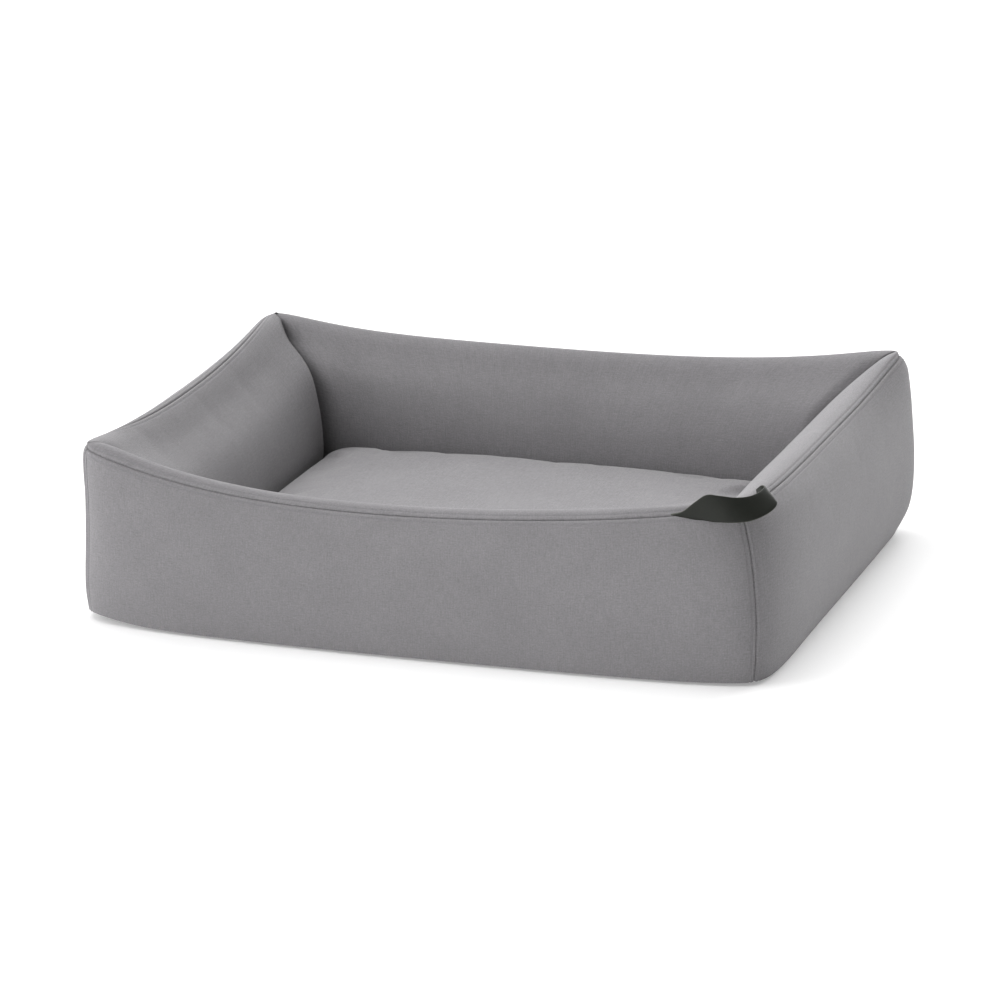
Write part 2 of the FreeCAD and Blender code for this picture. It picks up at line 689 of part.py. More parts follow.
# The cushion's zip is a straight slot in the back of the band.
CUSHION_ZIP_Y = f"{DEEP} / 2 + {SHIFT} - Sizes.cloth / 2"
CUSHION_ZIP_Z = "Sizes.cushion_zip_height"
slot = new_sketch(band, "cushion_side_band_slot", "XZ_Plane")
add_rectangle(slot, "Sizes.cushion_zip_length + 2 * Sizes.slot_margin", SLOT_WIDTH,
              ("0", CUSHION_ZIP_Z))
pocket = band.newObject("PartDesign::Pocket", "cushion_side_band_cut")
pocket.Profile = slot
pocket.setExpression("Length", f"{DEEP} / 2 + {SHIFT} + Sizes.slot_depth")
zip_chain("cushion_zip", CUSHION_ZIP_Y, CUSHION_ZIP_Z, "Sizes.cushion_zip_length")
CUSHION_SLIDER_X = "Sizes.cushion_zip_length / 2 - Sizes.coil_end - Sizes.slider_length / 2"
zip_slider("cushion_zip_slider", CUSHION_SLIDER_X, CUSHION_ZIP_Y, CUSHION_ZIP_Z)
zip_pull("cushion_zip_pull", CUSHION_SLIDER_X, CUSHION_ZIP_Y, CUSHION_ZIP_Z)

# ---------------------------------------------------------------- check and export
doc.recompute()
NODES = (
    [f"foam_{side}" for side in SIDES]
    + [f"cover_{side}_{face}" for side in SIDES for face in ("outer", "inner")]
    + ["base_fabric", "well_lining", "leather_loop"]
    + ["cushion_bottom_panel", "cushion_top_panel", "cushion_side_band",
       "cushion_foam_core", "cushion_topper"]
    + [f"{where}_zip_{part}" for where in ("frame", "cushion")
       for part in ("tape_upper", "tape_lower", "coil_upper", "coil_lower", "stops",
                    "slider", "pull")]
)
for item in doc.Objects:
    if "Invalid" in item.State or "Error" in item.State:
        raise RuntimeError(f"{item.Name} failed to build: {item.State}")
os.makedirs("parts", exist_ok=True)
for node in NODES:
    found = doc.getObjectsByLabel(node)
    if len(found) != 1:
        raise RuntimeError(f"{node} is the label of {len(found)} objects")
    shape = found[0].Shape
    if shape.isNull() or not shape.isValid() or not shape.Solids:
        raise RuntimeError(f"{node} has no valid solid")
    shape.exportStep(f"parts/{node}.step")
    print(f"{node}: {len(shape.Solids)} solid, {shape.Volume / 1000:.2f} cm3")
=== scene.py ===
import math

import bpy
import numpy as np
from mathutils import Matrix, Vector, noise


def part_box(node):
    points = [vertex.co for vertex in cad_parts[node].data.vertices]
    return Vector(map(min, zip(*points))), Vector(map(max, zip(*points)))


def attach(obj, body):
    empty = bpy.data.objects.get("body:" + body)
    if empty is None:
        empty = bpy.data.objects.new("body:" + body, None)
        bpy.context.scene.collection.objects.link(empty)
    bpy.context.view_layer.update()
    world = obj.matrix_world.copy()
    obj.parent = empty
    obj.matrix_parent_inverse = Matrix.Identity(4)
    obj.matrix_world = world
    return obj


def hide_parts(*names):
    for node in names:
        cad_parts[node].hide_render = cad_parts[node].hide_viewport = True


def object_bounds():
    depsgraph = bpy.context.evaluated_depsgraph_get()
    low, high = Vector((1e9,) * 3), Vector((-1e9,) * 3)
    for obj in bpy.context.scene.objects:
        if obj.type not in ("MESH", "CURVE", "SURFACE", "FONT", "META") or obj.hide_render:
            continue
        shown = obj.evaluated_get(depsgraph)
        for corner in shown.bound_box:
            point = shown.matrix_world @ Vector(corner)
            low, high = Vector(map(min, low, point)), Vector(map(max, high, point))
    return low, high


# The looks of the dog bed: a padded fabric frame with raised corners, a loose cushion in its
# well and a leather loop on the front right corner. Metres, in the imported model's own frame:
# X is the width, -Y the front, Z up, the origin under the middle of the bed.

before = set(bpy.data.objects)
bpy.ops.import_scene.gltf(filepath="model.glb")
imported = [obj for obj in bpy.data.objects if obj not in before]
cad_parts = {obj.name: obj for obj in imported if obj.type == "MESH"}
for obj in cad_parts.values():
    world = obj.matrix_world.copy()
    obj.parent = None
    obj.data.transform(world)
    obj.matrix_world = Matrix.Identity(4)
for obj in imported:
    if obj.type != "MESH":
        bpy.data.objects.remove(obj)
cad_low, cad_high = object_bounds()

# ---------------- node trees
class Nodes:
    """A short way to write the node tree of a material or a world."""

    def __init__(self, owner):
        self.owner = owner
        owner.use_nodes = True
        self.tree = owner.node_tree

    def add(self, kind, inputs=None, **settings):
        node = self.tree.nodes.new(kind)
        for key, value in settings.items():
            setattr(node, key, value)
        return self.fill(node, inputs or {})

    def fill(self, node, inputs):
        for key, value in inputs.items():
            if isinstance(value, bpy.types.NodeSocket):
                self.tree.links.new(value, node.inputs[key])
            else:
                node.inputs[key].default_value = value
        return node

    def place(self):
        """Where a point lies on its object, in metres."""
        return self.add("ShaderNodeTexCoord").outputs["Object"]

    def math(self, operation, a, b=0.0):
        return self.add("ShaderNodeMath", {0: a, 1: b}, operation=operation).outputs[0]

    def stretch(self, vector, scale):
        return self.add("ShaderNodeVectorMath", {0: vector, 1: scale},
                        operation="MULTIPLY").outputs[0]

    def noise(self, vector, scale, detail, roughness):
        return self.add("ShaderNodeTexNoise", {
            "Vector": vector, "Scale": scale, "Detail": detail,
            "Roughness": roughness}).outputs["Fac"]

    def range(self, value, low, high, start=0.0):
        """value from start..1 to low..high."""
        return self.add("ShaderNodeMapRange", {
            "Value": value, "From Min": start, "To Min": low, "To Max": high}).outputs[0]

    def bump(self, height, distance, strength, **under):
        """A normal; under may give the Normal that it is laid over."""
        return self.add("ShaderNodeBump", {"Height": height, "Distance": distance,
                                           "Strength": strength, **under}).outputs[0]

    def finish(self, colour, shade, normal, others):
        """The material: a colour times a shade, a normal, and the shader's other inputs."""
        tinted = self.add("ShaderNodeVectorMath", {0: colour, 3: shade}, operation="SCALE")
        self.fill(self.tree.nodes["Principled BSDF"],
                  {"Base Color": tinted.outputs[0], "Normal": normal, **others})
        return self.owner


# ---------------- camera, light and floor
CAMERA_VIEW = 17.66, 16.14  # azimuth and elevation in degrees
CAMERA_DISTANCE = 6.421
CAMERA_LENS = 189.3
CAMERA_TARGET = Vector((-0.0065, 0.010, 0.0926))
# Broad soft lights: azimuth, elevation and spread in degrees, and strength.
SUNS = {"key_light": (-120, 72, 60, 1.62), "side_light": (-72, 25, 50, 1.7),
        "front_light": (-30, 25, 50, 0.15), "back_light": (172, 25, 50, 2.5)}
BRIGHT_SIDE = (-1.0, 0.0, 0.0)
WORLD_DARKEST, WORLD_BRIGHTEST = 0.0, 0.8
FLOOR_SIZE = 60.0
FLOOR_DROP = 0.0004
FLOOR_SHADE, FLOOR_ROUGHNESS, FLOOR_GLOW = 0.82, 0.9, 0.25


def direction(azimuth, elevation):
    """The unit vector towards an azimuth and elevation in degrees; 0 is towards -Y."""
    a, e = math.radians(azimuth), math.radians(elevation)
    return Vector((math.sin(a) * math.cos(e), -math.cos(a) * math.cos(e), math.sin(e)))


def add_aimed(name, data, azimuth, elevation):
    """A camera or light that looks back from an azimuth and elevation."""
    aimed = bpy.data.objects.new(name, data)
    aimed.rotation_mode = "QUATERNION"
    aimed.rotation_quaternion = (-direction(azimuth, elevation)).to_track_quat("-Z", "Y")
    bpy.context.collection.objects.link(aimed)
    return aimed


def add_camera():
    data = bpy.data.cameras.new("camera")
    data.lens = CAMERA_LENS
    camera = add_aimed("camera", data, *CAMERA_VIEW)
    camera.location = CAMERA_TARGET + direction(*CAMERA_VIEW) * CAMERA_DISTANCE
    bpy.context.scene.camera = camera


def add_world():
    """A studio that is brighter to the left."""
    world = bpy.data.worlds.new("studio")
    nodes = Nodes(world)
    way = nodes.add("ShaderNodeTexCoord").outputs["Generated"]
    toward = nodes.add("ShaderNodeVectorMath", {0: way, 1: BRIGHT_SIDE},
                       operation="DOT_PRODUCT").outputs["Value"]
    strength = nodes.range(toward, WORLD_DARKEST, WORLD_BRIGHTEST, -1)
    nodes.fill(nodes.tree.nodes["Background"], {"Color": (1, 1, 1, 1), "Strength": strength})
    bpy.context.scene.world = world
    bpy.context.scene.view_settings.view_transform = "Standard"


def add_floor():
    mesh = bpy.data.meshes.new("floor")
    edge = FLOOR_SIZE / 2
    corners = [(-edge, -edge), (edge, -edge), (edge, edge), (-edge, edge)]
    mesh.from_pydata([(x, y, -FLOOR_DROP) for x, y in corners], [], [(0, 1, 2, 3)])
    floor = bpy.data.objects.new("floor", mesh)
    bpy.context.collection.objects.link(floor)
    nodes = Nodes(bpy.data.materials.new("floor_white"))
    nodes.fill(nodes.tree.nodes["Principled BSDF"], {
        "Base Color": (FLOOR_SHADE, FLOOR_SHADE, FLOOR_SHADE, 1), "Roughness": FLOOR_ROUGHNESS,
        "Emission Color": (1, 1, 1, 1), "Emission Strength": FLOOR_GLOW})
    mesh.materials.append(nodes.owner)


add_camera()
add_world()
for name, (azimuth, elevation, spread, strength) in SUNS.items():
    sun = bpy.data.lights.new(name, "SUN")
    sun.angle = math.radians(spread)
    sun.energy = strength
    add_aimed(name, sun, azimuth, elevation)
add_floor()


# ---------------- materials
THREAD_PITCH = 0.00085


def woven_cloth(name, colour, mottle=0.36, slub=0.40, sheen=0.22, weave_depth=0.00007,
                by_object=False):
    """A woven cloth with slubs along both threads, a soft nap and a fine weave. It is laid out
    by the mesh's own cloth coordinates, in metres."""
    nodes = Nodes(bpy.data.materials.new(name))
    if by_object:
        place = nodes.place()
    else:
        place = nodes.add("ShaderNodeAttribute", attribute_name="cloth").outputs["Vector"]
    warp = nodes.noise(nodes.stretch(place, (820, 60, 1)), 1.0, 3.0, 0.6)
    weft = nodes.noise(nodes.stretch(place, (90, 850, 1)), 1.0, 3.0, 0.6)
    nap = nodes.noise(place, 480.0, 4.0, 0.65)
    cloud = nodes.noise(place, 14.0, 3.0, 0.5)
    threads = nodes.math("MULTIPLY", nodes.math("ADD", warp, weft), 0.5)
    shade = nodes.math("MULTIPLY", nodes.range(threads, 1 - slub, 1 + slub),
                       nodes.range(nap, 1 - mottle, 1 + mottle))
    shade = nodes.math("MULTIPLY", shade, nodes.range(cloud, 1 - mottle / 4, 1 + mottle / 4))
    parts = nodes.add("ShaderNodeSeparateXYZ", {0: place}).outputs
    waves = [nodes.math("SINE", nodes.math("MULTIPLY", parts[k], math.pi / THREAD_PITCH))
             for k in (0, 1)]
    normal = nodes.bump(nap, 0.0005, 0.6)
    normal = nodes.bump(threads, 0.00018, 0.7, Normal=normal)
    normal = nodes.bump(nodes.math("MULTIPLY", *waves), weave_depth, 0.8, Normal=normal)
    return nodes.finish(colour, shade, normal, {
        "Roughness": 0.92, "Specular IOR Level": 0.2, "Sheen Weight": sheen,
        "Sheen Roughness": 0.4})


def thread(name, colour):
    """Sewing thread: a twisted ply seen as fine slanting bands."""
    nodes = Nodes(bpy.data.materials.new(name))
    twist = nodes.add("ShaderNodeTexWave", {
        "Vector": nodes.place(), "Scale": 900.0, "Distortion": 1.5, "Detail": 1.0},
        bands_direction="DIAGONAL").outputs["Fac"]
    return nodes.finish(colour, nodes.range(twist, 0.8, 1.1), nodes.bump(twist, 0.00008, 0.7),
                        {"Roughness": 0.75})


def leather(name, colour):
    """Full-grain leather: pebbled grain with fine pores, slightly waxed."""
    nodes = Nodes(bpy.data.materials.new(name))
    place = nodes.place()
    grain = nodes.add("ShaderNodeTexVoronoi", {"Vector": place, "Scale": 900.0},
                      feature="SMOOTH_F1").outputs["Distance"]
    fibre = nodes.noise(place, 420.0, 6.0, 0.6)
    cloud = nodes.noise(place, 60.0, 3.0, 0.5)
    shade = nodes.math("MULTIPLY", nodes.range(fibre, 0.7, 1.35), nodes.range(cloud, 0.8, 1.2))
    normal = nodes.bump(fibre, 0.00012, 0.5, Normal=nodes.bump(grain, 0.00022, 0.55))
    return nodes.finish(colour, shade, normal, {
        "Roughness": nodes.range(fibre, 0.42, 0.60), "Specular IOR Level": 0.28})


def painted_metal(name, colour):
    nodes = Nodes(bpy.data.materials.new(name))
    wear = nodes.noise(nodes.place(), 900.0, 4.0, 0.6)
    return nodes.finish(colour, nodes.range(wear, 0.85, 1.2), nodes.bump(wear, 0.00004, 0.4),
                        {"Roughness": nodes.range(wear, 0.32, 0.48), "Metallic": 0.6})


def moulded(name, colour, roughness):
    """Nylon, foam or fibre: a fine cellular surface."""
    nodes = Nodes(bpy.data.materials.new(name))
    cells = nodes.add("ShaderNodeTexVoronoi", {"Vector": nodes.place(), "Scale": 700.0}
                      ).outputs["Distance"]
    return nodes.finish(colour, nodes.range(cells, 0.86, 1.08), nodes.bump(cells, 0.0003, 0.6),
                        {"Roughness": roughness})


cover_cloth = woven_cloth("cover_cloth", (0.246, 0.239, 0.248))
base_cloth = woven_cloth("base_cloth", (0.05, 0.05, 0.054), 0.04, 0.1, 0.1, 0.0002)
lining_cloth = woven_cloth("lining_cloth", (0.11, 0.11, 0.116), 0.04, 0.1, 0.1, 0.0002)
tape_cloth = woven_cloth("tape_cloth", (0.15, 0.148, 0.155), 0.03, 0.1, 0.1, 0.0001, True)
seam_thread = thread("seam_thread", (0.235, 0.232, 0.245))
loop_leather = leather("loop_leather", (0.0105, 0.0120, 0.0090))
cut_edge = leather("loop_cut_edge", (0.050, 0.053, 0.043))
zip_metal = painted_metal("zip_metal", (0.12, 0.12, 0.125))
zip_nylon = moulded("zip_nylon", (0.16, 0.16, 0.165), 0.45)
pale_foam = moulded("pale_foam", (0.78, 0.75, 0.66), 0.95)
white_fibre = moulded("white_fibre", (0.85, 0.85, 0.84), 0.98)

# ---------------- the shape of the bolsters
# Each bolster is drawn in its own frame: t runs along it, n points out of the bed, and u is t
# as a fraction from -1 to 1. The four follow each other anticlockwise seen from above.
SIDES = {
    "front": ((0, -1), (1, 0), "front_left", "front_right"),
    "right": ((1, 0), (0, 1), "front_right", "back_right"),
    "back": ((0, 1), (-1, 0), "back_right", "back_left"),
    "left": ((-1, 0), (0, -1), "back_left", "front_left"),
}


def table(keys, **rows):
    return {name: dict(zip(keys.split(), row)) for name, row in rows.items()}


# ear is a corner's height. The cuts are how far the corner stays inside the width and depth.
# lean and tuck are the inset of the outer face at the rim and at the floor, as fractions of
# the bolster's thickness. seam is where the rim seam runs, counted along the cross-section.
# lift is how far the corner's underside stands off the floor. full is how full the shoulder on
# the inside is there.
CORNERS = table(
    "ear cut_x cut_y lean tuck seam lift full",
    front_left=(0.2225, 0.011, 0.036, 0.0, 0.04, 5.2, 0.016, 0.6),
    front_right=(0.212, 0.022, 0.030, 0.26, 0.03, 5.2, 0.002, 0.0),
    back_right=(0.2375, -0.004, 0.004, 0.08, 0.17, 5.6, 0.004, 0.4),
    back_left=(0.2222, -0.003, 0.005, 0.0, 0.08, 5.9, 0.004, 1.0))
# rim is the lowest height of the crest and low is where it is. The powers say how sharply it
# climbs to the start and end ears. bow is how much of the corner cut is a long bow. full is
# how full the shoulder on the inside is, and plump the one on the outside.
WALLS = table(
    "rim low powers lean tuck bow seam full plump",
    front=(0.178, -0.15, (2.5, 1.6), 0.14, 0.05, 0.45, 5.0, 0.0, 0.0),
    right=(0.209, 0.0, (2.5, 3.2), 0.20, 0.14, 0.30, 5.6, 1.7, 1.0),
    back=(0.2025, 0.25, (3.3, 3.9), 0.14, 0.09, 0.0, 5.6, 0.0, 0.0),
    left=(0.199, 0.10, (2.5, 2.6), 0.0, 0.06, 0.30, 6.5, -0.2, 0.0))
ROUND_POWER, BLEND_POWER, FULL_POWER = 7, 2.5, 4
LIFT_POWER = 14
LIFT_REACH = 0.09  # the height above which a corner is not lifted
CORNER_SOFTNESS = 0.020  # how far the outer face is smoothed round the corners
BELLY_SOFTNESS = 0.009  # what is added to that halfway up
INSIDE_FADE = 0.05  # how far down the inside that smoothing ends
EAR_SOFTNESS = 0.034  # how far the ears' heights are smoothed along the rim
EAR_FADE = 0.16  # how far down the inside that smoothing ends
CREASE_DEPTH = 0.021  # the fold where two bolsters meet inside
CREASE_REACH = 0.032
# Where that fold starts past the rim and how soon it is full, as shares of the thickness.
CREASE_START, CREASE_RAMP = 0.28, 0.25
EAR_POCKET = 0.006  # how far the fold dips between the ear's two rims
POCKET_RAMP, POCKET_END, POCKET_FADE = 0.15, 0.85, 0.3
FLOOR_GAP = 0.0028  # the bolsters' underside, above the base cloth
WELL_INSET = 0.003  # from the lining's edge to the bolsters

lining_low, lining_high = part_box("well_lining")
HALF_WIDTH = (cad_high[0] - cad_low[0]) / 2
HALF_DEPTH = (cad_high[1] - cad_low[1]) / 2
THICKNESS = {
    "front": HALF_DEPTH + lining_low[1] - WELL_INSET,
    "back": HALF_DEPTH - lining_high[1] - WELL_INSET,
    "left": HALF_WIDTH + lining_low[0] - WELL_INSET,
    "right": HALF_WIDTH - lining_high[0] - WELL_INSET,
}

SEAM_STEPS = (0.0, 0.0006, 0.0014, 0.0026, 0.0042, 0.0052, 0.0060, 0.0068, 0.0082, 0.0108)
STITCH_STEP = 6  # the entry above where a row of stitches runs
MESH_STEP = 0.0052
OUTER_RUN, INNER_RUN = 0.19, 0.23  # about how far it is from the rim seam to the floor
UNDER_ROWS = 14
RING_SAMPLES = 2048


def half_sizes(side):
    return (HALF_WIDTH, HALF_DEPTH) if side in ("front", "back") else (HALF_DEPTH, HALF_WIDTH)


def steps_from_seam(length):
    """Distances from a seam to the end of a stretch: close together near the seam."""
    near = np.array(SEAM_STEPS)
    count = max(2, round((length - near[-1]) / MESH_STEP))
    return np.concatenate([near, np.linspace(near[-1], length, count + 1)[1:]])


def wall_columns(side):
    """The values of u for one bolster's columns, from -1 up to but not including 1."""
    along = half_sizes(side)[0]
    ends = steps_from_seam(along) / along
    return np.concatenate([-1 + ends, (1 - ends[:-1])[::-1]])[:-1]


def wall_values(side, u):
    """Everything that the cross-sections at u need, as arrays."""
    along, across = half_sizes(side)
    start, end = (CORNERS[name] for name in SIDES[side][2:])
    wall = WALLS[side]
    past, far = u > 0, np.abs(u)

    def corner(key):
        return np.where(past, end[key], start[key])

    def blended(key, power=BLEND_POWER):
        return wall[key] + (corner(key) - wall[key]) * far ** power

    cuts = corner("cut_x"), corner("cut_y")
    cut_t, cut_n = cuts[::-1] if side in ("left", "right") else cuts
    order = list(SIDES)
    place = order.index(side)
    beside = np.where(past, THICKNESS[order[(place + 1) % 4]], THICKNESS[order[place - 1]])
    rounding = wall["bow"] * u**2 + (1 - wall["bow"]) * far ** ROUND_POWER
    low = wall["low"]
    rise_start = np.clip((low - u) / (low + 1), 0, 1) ** wall["powers"][0]
    rise_end = np.clip((u - low) / (1 - low), 0, 1) ** wall["powers"][1]
    rim = (wall["rim"] + (start["ear"] - wall["rim"]) * rise_start
           + (end["ear"] - wall["rim"]) * rise_end)
    return {
        "outer_t": u * (along - cut_t), "outer_n": across - cut_n * rounding,
        "inner_t": u * (along - beside), "inner_n": across - THICKNESS[side] + 0 * u,
        "rim": rim, "lift": corner("lift") * far ** LIFT_POWER,
        "lean": blended("lean"), "tuck": blended("tuck"), "seam": blended("seam"),
        "to_end": (1 - far) * along, "full": blended("full", FULL_POWER),
        "plump": wall["plump"] * (1 - far ** FULL_POWER),
    }


def cross_sections(values):
    """Control points (inset as a share of the thickness, z) for every column."""
    lean, tuck, rim, full, plump = (
        values[key] for key in ("lean", "tuck", "rim", "full", "plump"))
    one = np.ones_like(rim)
    rows = [
        (tuck, FLOOR_GAP / rim), (tuck * 0.25, 0.17 * one), (0 * one, 0.42 * one),
        (lean * 0.30 * (1 - 0.8 * plump), 0.68 * one),
        (lean * 0.75 * (1 - 0.5 * plump), 0.86 * one), (lean + 0.02 - 0.03 * plump, 0.95 * one),
        (lean + 0.13, one), (lean + 0.27, 0.965 + 0.02 * full),
        (lean * 0.8 + 0.46 + 0.02 * full, 0.86 + 0.045 * full),
        (0.78 + 0.03 * full, 0.72 + 0.04 * full), (0.93 + 0.01 * full, 0.56 + 0.02 * full),
        (one, 0.37 * one), (0.99 * one, 0.19 * one), (0.97 * one, FLOOR_GAP / rim),
    ]
    return np.stack([np.stack([x, z * rim], axis=1) for x, z in rows], axis=1)


def smooth_through(points, per_span=14):
    """Catmull-Rom curves through control points (columns, points, 2), and the parameter of
    each dense point, counted in control points."""
    ends = [2 * points[:, :1] - points[:, 1:2], points, 2 * points[:, -1:] - points[:, -2:-1]]
    p = np.concatenate(ends, axis=1)
    f = (np.arange(per_span) / per_span)[None, None, :, None]
    a, b, c, d = (p[:, k:p.shape[1] - 3 + k, None] for k in range(4))
    spans = 0.5 * (2 * b + (c - a) * f + (2 * a - 5 * b + 4 * c - d) * f**2
                   + (3 * b - a - 3 * c + d) * f**3)
    dense = spans.reshape(len(points), -1, points.shape[2])
    dense = np.concatenate([dense, points[:, -1:]], axis=1)
    return dense, np.arange(dense.shape[1]) / per_span


def run_along(line):
    """The distance along a line at each of its points."""
    return np.concatenate([[0], np.cumsum(np.linalg.norm(np.diff(line, axis=0), axis=1))])


def read_at(where, places, values):
    """Rows of values, given at some places along a line, at other places."""
    return np.stack([np.interp(where, places, column) for column in values.T], axis=-1)


def rounded_ring(rows, softness, height_softness):
    """Smooths closed rows of points (rows, columns, 3) along their own length."""
    out = rows.copy()
    for k, row in enumerate(rows):
        loop = np.vstack([row, row[:1]])
        at = run_along(loop)
        even = np.linspace(0, at[-1], RING_SAMPLES, endpoint=False)
        wave = np.fft.rfftfreq(RING_SAMPLES, at[-1] / RING_SAMPLES)
        for axis, soft_by in enumerate((softness[k], softness[k], height_softness[k])):
            keep = np.exp(-2 * (math.pi * soft_by * wave) ** 2)
            line = np.interp(even, at, loop[:, axis])
            soft = np.fft.irfft(np.fft.rfft(line) * keep, RING_SAMPLES)
            out[k, :, axis] = np.interp(at[:-1], np.append(even, at[-1]),
                                        np.append(soft, soft[0]))
    return out


def bolster_ring():
    """The whole frame as one closed tube round the bed: points (rows, columns, 3). Rows go
    from the floor up the outside, over the rim, down the inside and back under."""
    columns = {side: wall_columns(side) for side in SIDES}
    outer_steps, inner_steps = steps_from_seam(OUTER_RUN), steps_from_seam(INNER_RUN)
    under_steps = np.linspace(0, 1, UNDER_ROWS + 2)[1:-1]
    fine = len(SEAM_STEPS)
    stacks = []
    for side in SIDES:
        flat = wall_values(side, columns[side])
        dense, parameter = smooth_through(cross_sections(flat))
        values = {key: value[:, None] for key, value in flat.items()}
        thick = values["outer_n"] - values["inner_n"]
        lengths = np.hypot(np.diff(dense[:, :, 0]) * thick, np.diff(dense[:, :, 1]))
        run = np.concatenate([0 * thick, np.cumsum(lengths, axis=1)], axis=1)
        curves = []
        for k in range(len(thick)):
            seam = np.interp(flat["seam"][k], parameter, run[k])
            up = seam - outer_steps * seam / outer_steps[-1]
            up[:fine] = seam - outer_steps[:fine]
            down = seam + inner_steps * (run[k, -1] - seam) / inner_steps[-1]
            down[:fine] = seam + inner_steps[:fine]
            where = np.concatenate([up[::-1], down[1:]])
            curves.append(read_at(where, run[k], dense[k]))
        share, z = np.array(curves).transpose(2, 0, 1)
        # The fold where this bolster meets its neighbour inside.
        near = np.maximum(0, 1 - values["to_end"] / CREASE_REACH) ** 2
        past_rim = share - values["lean"] - CREASE_START
        pocket = (np.clip(past_rim / POCKET_RAMP, 0, 1)
                  * np.clip((POCKET_END - share) / POCKET_FADE, 0, 1))
        z = z - EAR_POCKET * near * pocket
        share = share - CREASE_DEPTH / thick * near * np.clip(past_rim / CREASE_RAMP, 0, 1)
        under = share[:, -1:] + (share[:, :1] - share[:, -1:]) * under_steps
        share = np.hstack([share, under])
        z = np.hstack([z, np.full_like(under, FLOOR_GAP)])
        z = z + values["lift"] * np.clip(1 - z / LIFT_REACH, 0, 1)
        t = values["outer_t"] + (values["inner_t"] - values["outer_t"]) * share
        n = values["outer_n"] - share * thick
        (nx, ny), (tx, ty) = SIDES[side][:2]
        stacks.append(np.stack([nx * n + tx * t, ny * n + ty * t, z], axis=-1))
    ring = np.concatenate(stacks).transpose(1, 0, 2)
    seam_row = len(outer_steps) - 1
    inner_end = seam_row + len(inner_steps) - 1
    softness = np.zeros(len(ring))
    height = np.arange(seam_row + 1) / seam_row
    softness[:seam_row + 1] = CORNER_SOFTNESS + BELLY_SOFTNESS * np.sin(math.pi * height) ** 2
    fade = np.clip(1 - np.arange(inner_end - seam_row) * MESH_STEP / INSIDE_FADE, 0, 1)
    softness[seam_row + 1:inner_end + 1] = CORNER_SOFTNESS * fade
    softness[inner_end + 1:] = CORNER_SOFTNESS * np.linspace(0, 1, UNDER_ROWS)
    rings_in = np.clip((np.arange(len(ring)) - seam_row) * MESH_STEP / EAR_FADE, 0, 1)
    height_softness = EAR_SOFTNESS * (1 - rings_in)
    return rounded_ring(ring, softness, height_softness), columns, seam_row, inner_end


# ---------------- building meshes
def mesh_from(name, points, faces, cloth=None):
    """A mesh, with where each point lies on the flat cloth, in metres."""
    mesh = bpy.data.meshes.new(name)
    points = np.asarray(points, float).reshape(-1, 3)
    mesh.from_pydata(points.tolist(), [], faces if isinstance(faces, list) else faces.tolist())
    if cloth is not None:
        attribute = mesh.attributes.new("cloth", "FLOAT_VECTOR", "POINT")
        attribute.data.foreach_set("vector", np.asarray(cloth, np.float32).ravel())
    return mesh


def put(name, mesh, body, slot, *materials, node=None, fill=None):
    """An object in the scene that rides on a body. It may stand for a CAD node, which it hides;
    fill is not used.
    """
    for material in materials:
        mesh.materials.append(material)
    mesh.shade_smooth()
    piece = bpy.data.objects.new(name, mesh)
    bpy.context.collection.objects.link(piece)
    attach(piece, body)
    if node:
        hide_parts(node)
    return piece


def quads_of(index, closed=False):
    """The faces between neighbouring entries of a grid of point numbers."""
    if closed:
        index = np.hstack([index, index[:, :1]])
    corners = index[:-1, :-1], index[:-1, 1:], index[1:, 1:], index[1:, :-1]
    return np.stack(corners, axis=-1).reshape(-1, 4)


def grid_index(shape, first=0):
    return first + np.arange(shape[0] * shape[1]).reshape(shape[:2])


def border_of(index):
    """The entries round a grid's edge, anticlockwise from the first corner."""
    return np.concatenate([index[0, :-1], index[:-1, -1], index[-1, :0:-1], index[:0:-1, 0]])


def tubes(points):
    """A mesh's points and faces for closed tubes (tubes, rings, points round, 3)."""
    count, *shape, _ = points.shape
    index = grid_index(shape)
    faces = quads_of(index, closed=True).tolist() + [index[0][::-1].tolist(), index[-1].tolist()]
    return points.reshape(-1, 3), [[v + k * index.size for v in face]
                                   for k in range(count) for face in faces]


def slab(name, low, high, cloth=None):
    """A closed mesh between two grids of points."""
    index = grid_index(low.shape)
    border = border_of(index)
    faces = np.vstack([quads_of(index)[:, ::-1], quads_of(index + index.size),
                       quads_of(np.stack([border, border + index.size]), closed=True)])
    points = np.vstack([low.reshape(-1, 3), high.reshape(-1, 3)])
    return mesh_from(name, points, faces, points if cloth else None)


def rounded_rectangle(x, y, half_x, half_y, corner):
    """Moves the points of a grid over a rectangle so that its corners are rounded, and says
    how far each is from the edge."""
    inset = np.minimum(half_x - np.abs(x), half_y - np.abs(y))
    radius = np.maximum(corner - inset, 1e-6)
    centre_x, centre_y = half_x - inset - radius, half_y - inset - radius
    by_x, by_y = np.abs(x) - centre_x, np.abs(y) - centre_y
    on_corner = (by_x > 0) & (by_y > 0)
    on_side = half_x - np.abs(x) <= half_y - np.abs(y)
    share = np.where(on_side, by_y, by_x) / radius * math.pi / 4
    angle = np.where(on_side, share, math.pi / 2 - share)
    new_x = np.where(on_corner, centre_x + radius * np.cos(angle), np.abs(x))
    new_y = np.where(on_corner, centre_y + radius * np.sin(angle), np.abs(y))
    return np.copysign(new_x, x), np.copysign(new_y, y), inset


def unit(vectors):
    return vectors / np.maximum(np.linalg.norm(vectors, axis=-1, keepdims=True), 1e-12)


def normals_of(points, closed_rows=False, closed_columns=False):
    """Unit normals of a grid of points; they face out where columns run anticlockwise."""
    def slope(axis, closed):
        if closed:
            return np.roll(points, -1, axis) - np.roll(points, 1, axis)
        return np.gradient(points, axis=axis)

    return unit(np.cross(slope(1, closed_columns), slope(0, closed_rows)))


